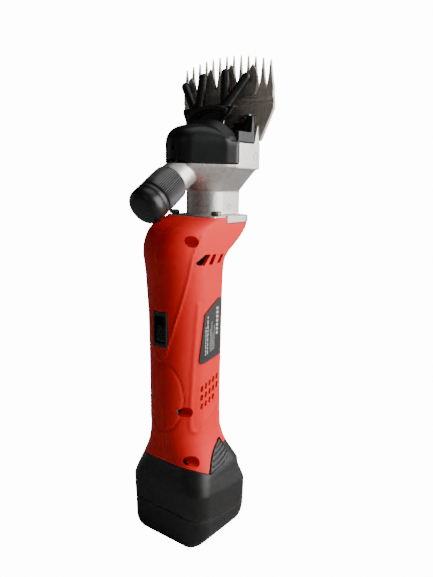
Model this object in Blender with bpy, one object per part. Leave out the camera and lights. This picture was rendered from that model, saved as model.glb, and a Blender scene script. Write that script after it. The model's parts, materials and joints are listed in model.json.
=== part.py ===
"""Cordless sheep shears, modelled piece by piece.

The tool stands on the flat base of its battery.  Z runs up the tool from that base to the comb, -Y is the
side with the switch and the tension knob, +Y is the side that lies on the animal, and the tool is
symmetric about the plane x = 0 apart from the position that the crank and the fork have stopped in.
All dimensions are in millimetres; MM turns them into metres when a mesh is made.
"""
import math

import bmesh
import bpy
from mathutils import Matrix, Vector

MM = 0.001
GAP = 0.3                       # between pieces that touch
WALL = 2.5                      # handle shell
CASE_WALL = 1.6                 # battery case

# Outer skin of battery and handle, bottom to top:
# height, half width, front, back, front corner radius, back corner radius
BODY = (
    (0.0, 26.8, -29.6, 22.4, 8.6, 9.0),
    (2.6, 30.0, -30.9, 25.4, 10.4, 10.0),
    (7.0, 33.4, -31.6, 28.0, 12.2, 11.5),
    (11.5, 34.9, -32.0, 29.4, 12.9, 12.2),
    (20.0, 35.3, -32.3, 30.2, 13.2, 12.5),
    (41.0, 35.5, -33.4, 30.4, 13.6, 12.5),
    (48.0, 33.8, -32.4, 28.2, 15.0, 12.5),
    (58.0, 30.6, -30.8, 23.6, 17.6, 13.0),
    (66.0, 27.6, -30.6, 19.6, 19.0, 13.5),
    (75.0, 24.9, -31.4, 16.6, 20.6, 13.8),
    (86.0, 23.4, -32.4, 14.9, 21.6, 14.0),
    (110.0, 23.2, -33.2, 14.4, 22.0, 14.0),
    (150.0, 23.5, -34.1, 14.3, 22.0, 14.0),
    (180.0, 23.8, -34.8, 14.3, 22.0, 14.0),
    (196.0, 24.0, -36.0, 14.3, 22.0, 13.8),
    (207.0, 24.3, -37.9, 15.0, 22.0, 13.4),
    (213.0, 24.5, -38.8, 18.4, 22.0, 13.0),
    (219.0, 24.7, -38.2, 26.4, 22.0, 12.6),
    (225.0, 24.8, -35.7, 33.8, 21.4, 12.0),
    (230.0, 24.8, -31.6, 38.4, 20.4, 11.5),
    (234.0, 24.6, -24.7, 40.6, 18.2, 11.5),
    (236.6, 24.2, -16.4, 41.0, 15.0, 11.0),
    (238.6, 23.6, -7.4, 41.0, 11.0, 11.0),
)
SEAM_FRONT_Z = 61.6             # where the red skirt ends, at the front
SEAM_SIDE_Z = 56.0              # and on the sides, ahead of the latches
SEAM_BACK_Z = 70.0              # and at the back
SEAM_CLEARANCE = 0.5
LATCH_LEAF = (                  # height, front edge, back edge
    (54.8, -16.2, -14.6), (56.2, -15.5, -5.0), (57.6, -14.8, 2.2), (59.6, -13.5, 6.4), (62.2, -11.8, 7.9),
    (65.4, -9.2, 7.9), (68.2, -6.5, 6.9), (71.0, -3.2, 5.3), (73.2, 0.4, 3.9), (74.2, 2.0, 3.0),
)
CASE_SEAM_Z = 20.0              # between the two halves of the battery case
PLUG_TOP_Z = 80.0               # top of the battery's plug inside the handle
PLUG_INSET = WALL + 0.7
PLUG_SETBACK = 10.0             # the plug leaves room at the front for the lowest screw post

CELL_RADIUS = 9.15
CELL_LENGTH = 65.0
CELL_ROW_Y = 9.4
CELL_ROWS_Z = (19.0, 37.3)

# Drive: motor axis, crankshaft axis and the gear pair between them
MOTOR_Y = -5.0
CRANK_Y = 16.0
GEAR_MODULE = 1.0
PINION_TEETH = 15
GEAR_TEETH = 27
GEAR_Z = (227.2, 232.4)
MOTOR_RADIUS = 15.6
MOTOR_Z = (176.0, 219.0)
CRANK_THROW = 4.0

# Head
FLANGE_Z = (234.3, 239.4)
FLANGE_FRONT_Y = -5.4
NECK_RADIUS = 15.0
NECK_TOP_Z = 256.6               # the bell widens from here ...
BELL_TOP_Z = 273.0               # ... to here
COVER_Z = 275.4
SIDE_TOP_Z = 290.0
BACK_TOP_Z = 303.0
HEAD_HALF = 31.0
HEAD_BACK_Y = 38.0
NOSE_RADIUS = 16.2
NOSE_Y = -5.0                   # centre of the nose's arc
BEARING_RADIUS = 9.5
SHAFT_RADIUS = 4.0

# Fork, cutter and comb
PIVOT_Z = 290.0
ROLLER_Z = 265.0
SWING = math.degrees(math.asin(2.0 / (PIVOT_Z - ROLLER_Z)))      # the fork has stopped off centre
CRANK_ANGLE = 30.0              # and so has the crank
FORK_Y = (14.6, 21.4)
CUTTER_Y = (33.9, 36.7)
COMB_Y = (37.0, 40.2)
COMB_SEAT_Y = 36.7
TEETH = 13
PITCH = 6.35
TIP_Z = 353.5
TIP_SAG = 6.2
ROOT_Z = 329.0

# Tension knob: its axis lies in the plane x = 0 and rises towards the fork
KNOB_AT = Vector((0.0, -23.1, 262.8))
KNOB_TILT = math.radians(33.7)
KNOB_RADIUS = 12.9
GRIP_LENGTH = 20.2
CAP_LENGTH = 14.4
BOSS_RADIUS = 11.3
KNOB_IN = Vector((0.0, math.cos(KNOB_TILT), math.sin(KNOB_TILT)))

for old in list(bpy.data.objects):
    bpy.data.objects.remove(old, do_unlink=True)


# ---------------------------------------------------------------- materials

def material(name, colour, roughness, metallic=0.0):
    """A Principled material with a base colour, a roughness and a metallic value."""
    mat = bpy.data.materials.new(name)
    mat.use_nodes = True
    shader = mat.node_tree.nodes["Principled BSDF"]
    shader.inputs["Base Color"].default_value = (*colour, 1.0)
    shader.inputs["Roughness"].default_value = roughness
    shader.inputs["Metallic"].default_value = metallic
    return mat


RED = material("red_plastic", (0.62, 0.03, 0.02), 0.45)
BLACK = material("black_plastic", (0.02, 0.02, 0.022), 0.4)
CAST = material("cast_aluminium", (0.62, 0.61, 0.6), 0.35, 1.0)
STEEL = material("steel", (0.45, 0.44, 0.43), 0.3, 1.0)
BLADE = material("ground_steel", (0.36, 0.33, 0.3), 0.35, 1.0)
FORGED = material("blackened_steel", (0.04, 0.04, 0.042), 0.4, 0.8)
DARK_STEEL = material("dark_steel", (0.08, 0.075, 0.07), 0.4, 0.9)
LABEL = material("label_film", (0.015, 0.015, 0.016), 0.3)
CELL = material("cell_sleeve", (0.02, 0.16, 0.3), 0.4)
BOARD = material("circuit_board", (0.02, 0.2, 0.08), 0.5)
COPPER = material("copper_winding", (0.7, 0.3, 0.12), 0.4, 1.0)
BRASS = material("brass", (0.75, 0.55, 0.22), 0.35, 1.0)
BUTTON = material("button_plastic", (0.03, 0.03, 0.032), 0.5)


# ---------------------------------------------------------------- mesh helpers

def finish(name, bm, mat, at=(0.0, 0.0, 0.0), parent=None, smooth_angle=35.0):
    """Turn a bmesh in millimetres into a named object whose origin is at the point 'at'."""
    bmesh.ops.remove_doubles(bm, verts=bm.verts, dist=1e-4)
    bmesh.ops.triangulate(bm, faces=bm.faces)
    bmesh.ops.recalc_face_normals(bm, faces=bm.faces)
    if bm.calc_volume(signed=True) < 0:
        bmesh.ops.reverse_faces(bm, faces=bm.faces)
    bm.transform(Matrix.Scale(MM, 4) @ Matrix.Translation(-Vector(at)))
    mesh = bpy.data.meshes.new(name)
    bm.to_mesh(mesh)
    bm.free()
    mesh.shade_smooth()
    mesh.set_sharp_from_angle(angle=math.radians(smooth_angle))
    mesh.materials.append(mat)
    obj = bpy.data.objects.new(name, mesh)
    bpy.context.scene.collection.objects.link(obj)
    obj.location = Vector(at) * MM
    if parent:
        obj.parent = parent
        obj.location = Vector(at) * MM - parent.location
    return obj


def guide(obj):
    """Hide a cutter or an added solid that only serves a Boolean."""
    obj.hide_render = True
    obj.display_type = 'WIRE'
    return obj


def boolean(target, others, operation):
    """Add several solids to a target, or take them away, in one Boolean step kept as a live modifier."""
    group = bpy.data.collections.new(f"{target.name}_{operation.lower()}")
    for other in others:
        group.objects.link(guide(other))
    mod = target.modifiers.new(operation.lower(), 'BOOLEAN')
    mod.operation = operation
    mod.solver = 'EXACT'
    mod.operand_type = 'COLLECTION'
    mod.collection = group


def skin(rings):
    """A solid through rings of equally many points, with its two ends capped."""
    bm = bmesh.new()
    rows = [[bm.verts.new(p) for p in ring] for ring in rings]
    count = len(rings[0])
    for low, high in zip(rows, rows[1:]):
        for i in range(count):
            j = (i + 1) % count
            bm.faces.new((low[i], low[j], high[j], high[i]))
    bm.faces.new(rows[0])
    bm.faces.new(rows[-1])
    return bm


def turned(profile, centre=(0.0, 0.0), steps=24):
    """A solid of revolution about a vertical axis from a closed profile of (radius, height)."""
    bm = bmesh.new()
    rows = []
    for radius, height in profile:
        row = []
        for k in range(steps if radius > 1e-6 else 1):
            turn = 2.0 * math.pi * k / steps
            x = centre[0] + radius * math.cos(turn)
            y = centre[1] + radius * math.sin(turn)
            row.append(bm.verts.new((x, y, height)))
        rows.append(row)
    for low, high in zip(rows, rows[1:] + rows[:1]):
        if len(low) == 1 and len(high) == 1:
            continue
        for k in range(steps):
            n = (k + 1) % steps
            corners = [low[k % len(low)], low[n % len(low)], high[n % len(high)], high[k % len(high)]]
            corners = list(dict.fromkeys(corners))
            bm.faces.new(corners)
    return bm


def prism_z(outline, low, high):
    return skin([[(x, y, low) for x, y in outline], [(x, y, high) for x, y in outline]])


def prism_y(outline, low, high):
    return skin([[(x, low, z) for x, z in outline], [(x, high, z) for x, z in outline]])


def prism_x(outline, low, high):
    return skin([[(low, y, z) for y, z in outline], [(high, y, z) for y, z in outline]])


def box(low, high):
    outline = ((low[0], low[1]), (high[0], low[1]), (high[0], high[1]), (low[0], high[1]))
    return prism_z(outline, low[2], high[2])


def along(bm, start, direction):
    """Move a solid made about +Z from the origin so that it starts at a point and runs along a direction."""
    turn = Vector((0, 0, 1)).rotation_difference(Vector(direction)).to_matrix().to_4x4()
    bm.transform(Matrix.Translation(Vector(start)) @ turn)
    return bm


def rod(radius, length, steps=20):
    return turned(((0.0, 0.0), (radius, 0.0), (radius, length), (0.0, length)), steps=steps)


def arc(cx, cy, radius, start, end, steps):
    """Points of an arc, angles in degrees, both ends included."""
    points = []
    for k in range(steps + 1):
        a = math.radians(start + (end - start) * k / steps)
        points.append((cx + radius * math.cos(a), cy + radius * math.sin(a)))
    return points


def empty(name, at):
    obj = bpy.data.objects.new(name, None)
    obj.location = Vector(at) * MM
    bpy.context.scene.collection.objects.link(obj)
    return obj


# ---------------------------------------------------------------- handle and battery skin

def station(z):
    """Half width, front, back, front and back corner radius of the outer skin at a height."""
    for low, high in zip(BODY, BODY[1:]):
        if z <= high[0]:
            t = (z - low[0]) / (high[0] - low[0])
            return [a + (b - a) * t for a, b in zip(low[1:], high[1:])]
    return list(BODY[-1][1:])


def half_outline(z, inset, seam, setback=0.0):
    """Plan of the right half at a height: front seam, front corner, side, back corner, back seam."""
    half, front, back, front_radius, back_radius = station(z)
    half -= inset
    front += inset + setback
    back -= inset
    front_radius = max(front_radius - inset, 2.0)
    back_radius = max(back_radius - inset, 2.0)
    if setback:
        front_radius = min(front_radius, 10.0)
    points = [(seam, front)]
    points += arc(half - front_radius, front + front_radius, front_radius, -90, 0, 7)
    points += arc(half - back_radius, back - back_radius, back_radius, 0, 90, 5)
    points.append((seam, back))
    return points


def skin_x(y, z):
    """Half width of the outer skin at a place along its side."""
    half, front, back, front_radius, back_radius = station(z)
    if y < front + front_radius:
        reach = front + front_radius - y
        return half - front_radius + math.sqrt(max(front_radius ** 2 - reach ** 2, 0.0))
    if y > back - back_radius:
        reach = y - back + back_radius
        return half - back_radius + math.sqrt(max(back_radius ** 2 - reach ** 2, 0.0))
    return half


def full_outline(z, inset, setback=0.0):
    right = half_outline(z, inset, 0.0, setback)
    return right + [(-x, y) for x, y in reversed(right[1:-1])]


def seam_z(x, y):
    """Height of the red skirt's lower edge at a place on the skin."""
    front = station(SEAM_FRONT_Z)[1]
    along_side = min(max((y - front) / 14.0, 0.0), 1.0)
    ahead = SEAM_FRONT_Z + (SEAM_SIDE_Z - SEAM_FRONT_Z) * along_side
    rear = min(max((y - 2.0) / 6.0, 0.0), 1.0)
    return ahead + (SEAM_BACK_Z - ahead) * rear


def ring_at(outline, z):
    return [(x, y, z) for x, y in outline]


def seam_ring(inset, seam, setback=0.0, drop=0.0):
    """Half outline that follows the red skirt's lower edge, each point on the skin at its own height."""
    ring = []
    for i, (x, y) in enumerate(half_outline(SEAM_SIDE_Z + 4.0, 0.0, seam)):
        height = seam_z(x, y)
        ring.append((*half_outline(height, inset, seam, setback)[i], height - drop))
    return ring


def full_seam_ring(inset, setback, drop):
    right = seam_ring(inset, 0.0, setback, drop)
    return right + [(-x, y, z) for x, y, z in reversed(right[1:-1])]


def shell_levels():
    return [z for z, *rest in BODY if z > SEAM_BACK_Z + 2.0]


def half_solid(name, side, inset, seam, drop=None, top=None):
    """The space inside one half of the handle's outline, from its lower edge, or from a drop below it, up."""
    if drop is None:
        rings = [seam_ring(inset + WALL + 1.0, seam), seam_ring(inset, seam)]
    else:
        rings = [seam_ring(inset, seam, 0.0, drop), seam_ring(inset, seam)]
    rings += [ring_at(half_outline(z, inset, seam), z) for z in shell_levels()]
    if top:
        rings.append(ring_at(half_outline(BODY[-1][0], inset, seam), top))
    rings = [[(side * x, y, z) for x, y, z in ring] for ring in rings]
    return finish(name, skin(rings), RED)


def leaf_rows(clearance, out, depth, side):
    """The leaf-shaped latch as rectangles stacked up the sloping side of the tool."""
    rows = []
    for i, (z, low, high) in enumerate(LATCH_LEAF):
        if i == 0:
            z -= clearance
        if i == len(LATCH_LEAF) - 1:
            z += clearance
        low -= clearance
        high += clearance
        surface = station(z)[0]
        rows.append([(side * (surface - depth), low, z), (side * (surface + out), low, z),
                     (side * (surface + out), high, z), (side * (surface - depth), high, z)])
    return rows


# ---------------------------------------------------------------- handle

SHELL_SCREWS = {                # name: (side of the head, y, z)
    "shell_screw_top": (1, -26.2, 223.6),
    "shell_screw_middle": (1, -26.4, 101.8),
    "shell_screw_low": (1, -24.8, 65.4),
    "shell_screw_rear_upper": (-1, 8.2, 166.0),
    "shell_screw_rear_lower": (-1, 8.2, 100.0),
}
POST_RADIUS = 3.9
POST_SHORT = 0.7                # the posts end this far from the joint plane
HEAD_DEPTH = 9.5                # from the joint plane to the underside of each screw head


def shell_halves():
    for s, side in ((1, "right"), (-1, "left")):
        shell = half_solid(f"handle_shell_{side}", s, 0.0, GAP / 2)
        hollow = half_solid(f"handle_hollow_{side}", s, WALL, -1.0, 20.0, 250.0)
        posts = []
        holes = [hollow]
        for name, (head_side, y, z) in SHELL_SCREWS.items():
            post = along(rod(POST_RADIUS, 40.0), (s * POST_SHORT, y, z), (s, 0, 0))
            posts.append(finish(f"post_{name}_{side}", post, RED))
            hole = ((0, -1.0), (1.8, -1.0), (1.8, 10.5), (0, 10.5))
            if s == head_side:
                hole = ((0, -1.0), (1.8, -1.0), (1.8, HEAD_DEPTH), (3.1, HEAD_DEPTH), (3.1, 40.0), (0, 40.0))
            bm = along(turned(hole, steps=16), (0, y, z), (s, 0, 0))
            holes.append(finish(f"hole_{name}_{side}", bm, RED))
        boolean(hollow, posts, 'DIFFERENCE')
        seat = box((-60.0, FLANGE_FRONT_Y - GAP, FLANGE_Z[0] - GAP), (60.0, 80.0, 260.0))
        opening = box((-6.6, -50.0, 148.6), (6.6, -20.0, 174.4))
        holes += [finish(f"flange_seat_{side}", seat, RED), finish(f"switch_opening_{side}", opening, RED),
                  finish(f"latch_notch_{side}", skin(leaf_rows(0.9, 6.0, 9.0, s)), RED)]
        for row in range(3):
            for column in range(5 - row // 2):
                y = -15.6 + 4.1 * column
                z = 117.8 - 6.6 * row + 1.4 * column
                slot = [(y - 1.5, z - 2.2), (y + 0.7, z - 2.2), (y + 1.5, z + 2.2), (y - 0.7, z + 2.2)]
                slot = prism_x(slot, s * 15.0, s * 30.0)
                holes.append(finish(f"vent_{side}_{row}_{column}", slot, RED))
        for low, high, width in (((-21.0, 207.8), (-13.6, 213.6), 3.0), ((-10.6, 207.4), (-4.6, 213.8), 2.2),
                                 ((-2.0, 207.2), (3.4, 213.8), 1.7)):
            slot = [(low[0] - 0.6, low[1]), (low[0] + width, low[1] - 0.4), (high[0] + 0.8, high[1]),
                    (high[0] - width * 0.6, high[1])]
            slot = prism_x(slot, s * 16.4, s * 32.0)
            holes.append(finish(f"upper_vent_{side}_{int(low[1] * 10)}", slot, RED))
        boolean(shell, holes, 'DIFFERENCE')
    profile = ((0, -HEAD_DEPTH - 8.0), (1.5, -HEAD_DEPTH - 8.0), (1.5, 0.3), (2.75, 0.3), (2.75, 1.6),
               (2.0, 2.6), (1.2, 2.6), (1.2, 1.2), (0, 1.2))
    for name, (head_side, y, z) in SHELL_SCREWS.items():
        at = (head_side * HEAD_DEPTH, y, z)
        finish(name, along(turned(profile, steps=12), at, (head_side, 0, 0)), DARK_STEEL, at=at)


def side_labels():
    """The dark film panels on the handle's sides, left blank, bent to the skin."""
    columns = ((-18.8, 138.6, 141.0), (-17.6, 136.8, 150.5), (-14.9, 137.0, 172.1), (-11.0, 137.6, 175.0),
               (-7.0, 138.4, 177.6), (-3.0, 139.2, 180.1), (0.6, 139.9, 182.3), (2.6, 140.3, 182.3),
               (3.8, 141.4, 181.2))
    for name, s in (("label_right", 1), ("label_left", -1)):
        rows = []
        for y, low, high in columns:
            ring = []
            for z, out in ((low, GAP), (low, GAP + 0.45), (high, GAP + 0.45), (high, GAP)):
                ring.append((s * (skin_x(y, z) + out), y, z))
            rows.append(ring)
        finish(name, skin(rows), LABEL)


def switch():
    front = station(158.0)[1]
    housing = finish("switch_housing", box((-6.2, front - 0.6, 149.0), (6.2, front + 11.0, 174.0)), BLACK)
    pocket = box((-4.6, front - 5.0, 151.8), (4.6, front + 4.4, 170.8))
    boolean(housing, [finish("switch_pocket", pocket, BLACK)], 'DIFFERENCE')
    bm = box((-4.2, front - 0.2, 152.2), (4.2, front + 4.0, 164.4))
    finish("switch_button", bm, BUTTON, at=(0.0, front, 158.3))


def electronics():
    finish("circuit_board", box((-15.0, 1.2, 100.0), (15.0, 2.8, 160.0)), BOARD)
    outline = []
    for k in range(6):
        x = -12.0 + 4.8 * k
        outline += [(x - 0.9, -9.0), (x + 0.9, -9.0)] if k < 5 else []
        outline += [(x + 0.9, -2.4), (x + 3.9, -2.4)] if k < 4 else []
    outline += [(12.0, 0.9), (-12.9, 0.9)]
    finish("heat_sink", prism_z(outline, 118.0, 150.0), CAST)
    terminal = finish("handle_terminal", box((-15.0, -12.0, 86.5), (15.0, 0.5, 95.5)), BLACK)
    slots = []
    for k, x in enumerate((-9.0, 0.0, 9.0)):
        slot = box((x - 1.0, -10.0, 80.0), (x + 1.0, -1.5, 93.0))
        slots.append(finish(f"terminal_slot_{k}", slot, BLACK))
    boolean(terminal, slots, 'DIFFERENCE')


# ---------------------------------------------------------------- battery

def battery():
    outer_low = [z for z, *rest in BODY if z < CASE_SEAM_Z] + [CASE_SEAM_Z - GAP]
    rings = [ring_at(full_outline(z, 0.0), z) for z in outer_low]
    rings += [ring_at(full_outline(z, CASE_WALL), z) for z in (CASE_SEAM_Z - GAP, 11.5, 7.0, 2.6)]
    finish("battery_case_lower", skin(rings), BLACK)

    plug = PLUG_INSET + 0.7
    inside = plug + CASE_WALL
    rings = [ring_at(full_outline(PLUG_TOP_Z, inside, PLUG_SETBACK), PLUG_TOP_Z - 2.4)]
    rings += [ring_at(full_outline(z, inside, PLUG_SETBACK), z) for z in (72.0, 55.0)]
    rings.append(ring_at(full_outline(51.0, inside), 51.0))
    rings += [ring_at(full_outline(z, CASE_WALL), z) for z in (47.0, 41.0, CASE_SEAM_Z)]
    rings += [ring_at(full_outline(z, 0.0), z) for z in (CASE_SEAM_Z, 41.0, 48.0)]
    for inset, setback in ((0.0, 0.0), (PLUG_INSET, 0.0), (plug, PLUG_SETBACK)):
        rings.append(full_seam_ring(inset, setback, SEAM_CLEARANCE))
    rings.append(ring_at(full_outline(74.0, plug, PLUG_SETBACK), 74.0))
    rings.append(ring_at(full_outline(PLUG_TOP_Z, plug, PLUG_SETBACK), PLUG_TOP_Z))
    case = finish("battery_case_upper", skin(rings), BLACK)
    pockets = []
    for s, name in ((1, "right"), (-1, "left")):
        pockets.append(finish(f"latch_pocket_{name}", skin(leaf_rows(0.45, 6.0, 6.8, s)), BLACK))
    boolean(case, pockets, 'DIFFERENCE')

    for row, z in enumerate(CELL_ROWS_Z):
        for side, y in enumerate((-CELL_ROW_Y, CELL_ROW_Y)):
            profile = ((0, 0), (CELL_RADIUS, 0), (CELL_RADIUS, CELL_LENGTH - 1.6), (3.0, CELL_LENGTH - 1.6),
                       (3.0, CELL_LENGTH), (0, CELL_LENGTH))
            at = (-CELL_LENGTH / 2, y, z)
            finish(f"battery_cell_{2 * row + side + 1}", along(turned(profile), at, (1, 0, 0)), CELL)

    outline = [(-13.0, PLUG_TOP_Z + GAP), (13.0, PLUG_TOP_Z + GAP), (13.0, 83.2)]
    for x in (9.0, 0.0, -9.0):
        outline += [(x + 0.5, 83.2), (x + 0.5, 91.5), (x - 0.5, 91.5), (x - 0.5, 83.2)]
    outline.append((-13.0, 83.2))
    finish("battery_contacts", prism_y(outline, -9.0, -2.5), BRASS)

    for s, name in ((1, "right"), (-1, "left")):
        finish(f"latch_{name}", skin(leaf_rows(0.0, 0.9, 4.6, s)), BUTTON, at=(s * 26.0, 0.0, 61.0))


# ---------------------------------------------------------------- motor and drive

def motor():
    r = MOTOR_RADIUS
    low, high = MOTOR_Z
    can = ((r, low), (r, high - 1.0), (r - 1.0, high), (3.6, high), (3.6, high - 1.4), (r - 1.4, high - 1.4),
           (r - 1.4, low))
    finish("motor_can", turned(can, (0, MOTOR_Y)), STEEL)
    bell = ((r, low - GAP), (r - 1.8, low - GAP), (r - 1.8, low - 3.0), (3.4, low - 3.0), (3.4, low - 6.5),
            (6.0, low - 6.5), (7.0, low - 5.2), (r, low - 5.2))
    finish("motor_end_bell", turned(bell, (0, MOTOR_Y)), BLACK)
    core = ((3.1, low + 6.0), (11.6, low + 6.0), (12.6, low + 9.0), (12.6, high - 12.0), (11.6, high - 9.0),
            (3.1, high - 9.0))
    at = (0, MOTOR_Y, 0)
    finish("motor_armature", turned(core, (0, MOTOR_Y)), COPPER, at=at)
    commutator = ((3.1, low + 1.0), (6.0, low + 1.0), (6.0, low + 5.6), (3.1, low + 5.6))
    finish("motor_commutator", turned(commutator, (0, MOTOR_Y)), BRASS, at=at)
    finish("motor_shaft", turned(((0, low - 9.0), (2.7, low - 9.0), (2.7, GEAR_Z[1] + 0.8),
                                  (0, GEAR_Z[1] + 0.8)), (0, MOTOR_Y), 16), STEEL, at=at)
    fan = ((3.1, 220.4), (12.4, 220.4), (12.4, 221.4), (6.0, 222.4), (6.0, 224.0), (3.1, 224.0))
    finish("cooling_fan", turned(fan, (0, MOTOR_Y)), BLACK, at=at)


def gear_outline(teeth, phase, backlash):
    """Straight-flanked teeth, thinned by the backlash."""
    pitch_radius = GEAR_MODULE * teeth / 2
    step = 2 * math.pi / teeth
    points = []
    for k in range(teeth):
        a = phase + k * step
        for radius, share in ((pitch_radius - 1.2, -0.36), (pitch_radius + 0.0, -0.235),
                              (pitch_radius + 0.85, -0.12), (pitch_radius + 0.85, 0.12),
                              (pitch_radius + 0.0, 0.235), (pitch_radius - 1.2, 0.36)):
            angle = a + share * step * (1 - backlash)
            points.append((radius * math.cos(angle), radius * math.sin(angle)))
    return points


def gear(name, teeth, y, phase, bore, mat):
    outer = [(x, y + dy) for x, dy in gear_outline(teeth, phase, 0.1)]
    bm = prism_z(outer, *GEAR_Z)
    wheel = finish(name, bm, mat, at=(0, y, 0))
    hole = turned(((0, 200), (bore, 200), (bore, 250), (0, 250)), (0, y), 20)
    boolean(wheel, [finish(f"{name}_bore", hole, mat)], 'DIFFERENCE')


def drive():
    # a tooth of the crank gear points at the motor and a gap of the pinion faces it
    gear("crank_gear", GEAR_TEETH, CRANK_Y, math.radians(-90), SHAFT_RADIUS + GAP, STEEL)
    gear("motor_pinion", PINION_TEETH, MOTOR_Y, math.radians(90) + math.pi / PINION_TEETH, 3.0, BRASS)
    shaft = ((0, 224.4), (SHAFT_RADIUS, 224.4), (SHAFT_RADIUS, 256.2), (8.4, 256.2), (8.4, 259.0), (0, 259.0))
    crank = finish("crankshaft", turned(shaft, (0, CRANK_Y)), STEEL, at=(0, CRANK_Y, 0))
    a = math.radians(CRANK_ANGLE)
    pin_at = (CRANK_THROW * math.sin(a), CRANK_Y - CRANK_THROW * math.cos(a))
    pin = turned(((0, 258.0), (2.6, 258.0), (2.6, 272.6), (0, 272.6)), pin_at, 16)
    boolean(crank, [finish("crank_pin", pin, STEEL)], 'UNION')
    roller = ((2.95, 262.4), (5.0, 262.4), (5.0, 271.6), (2.95, 271.6))
    finish("crank_roller", turned(roller, pin_at, 20), BRASS, at=(0, CRANK_Y, 0))
    for name, low in (("bearing_lower", 240.6), ("bearing_upper", 249.6)):
        race = ((SHAFT_RADIUS + GAP, low), (BEARING_RADIUS - GAP, low), (BEARING_RADIUS - GAP, low + 6.0),
                (SHAFT_RADIUS + GAP, low + 6.0))
        finish(name, turned(race, (0, CRANK_Y)), STEEL)


# ---------------------------------------------------------------- head

def head_outline(inset):
    """Plan of the head: flat sides, a chamfered corner each side, and faces that meet in a round nose."""
    half = HEAD_HALF - inset
    corner = 27.0 - inset
    nose = NOSE_RADIUS - inset
    right = [(x, y) for x, y in arc(0.0, NOSE_Y, nose, -90, -45, 6)]
    right += [(corner, 3.0 + 0.4 * inset), (half, 9.6 + 0.4 * inset), (half, 24.0),
              (half, HEAD_BACK_Y - inset - 3.0), (half - 3.0, HEAD_BACK_Y - inset)]
    return [(-x, y) for x, y in reversed(right[1:])] + right


def bell_ring(z, size, inset):
    """Between the neck, round in front and flat at the sides, and the plan of the head, point for point."""
    blend = min(max((z - NECK_TOP_Z) / (BELL_TOP_Z - NECK_TOP_Z), 0.0), 1.0)
    size -= inset
    ring = []
    for x, y in head_outline(inset):
        a = math.atan2(y - CRANK_Y, x)
        cx = size * math.cos(a) if y < CRANK_Y else x * size / (HEAD_HALF - inset)
        cy = CRANK_Y + size * math.sin(a) if y < CRANK_Y else y
        ring.append((cx + (x - cx) * blend, cy + (y - cy) * blend, z))
    return ring


def knob_point(distance):
    return KNOB_AT + KNOB_IN * distance


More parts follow.
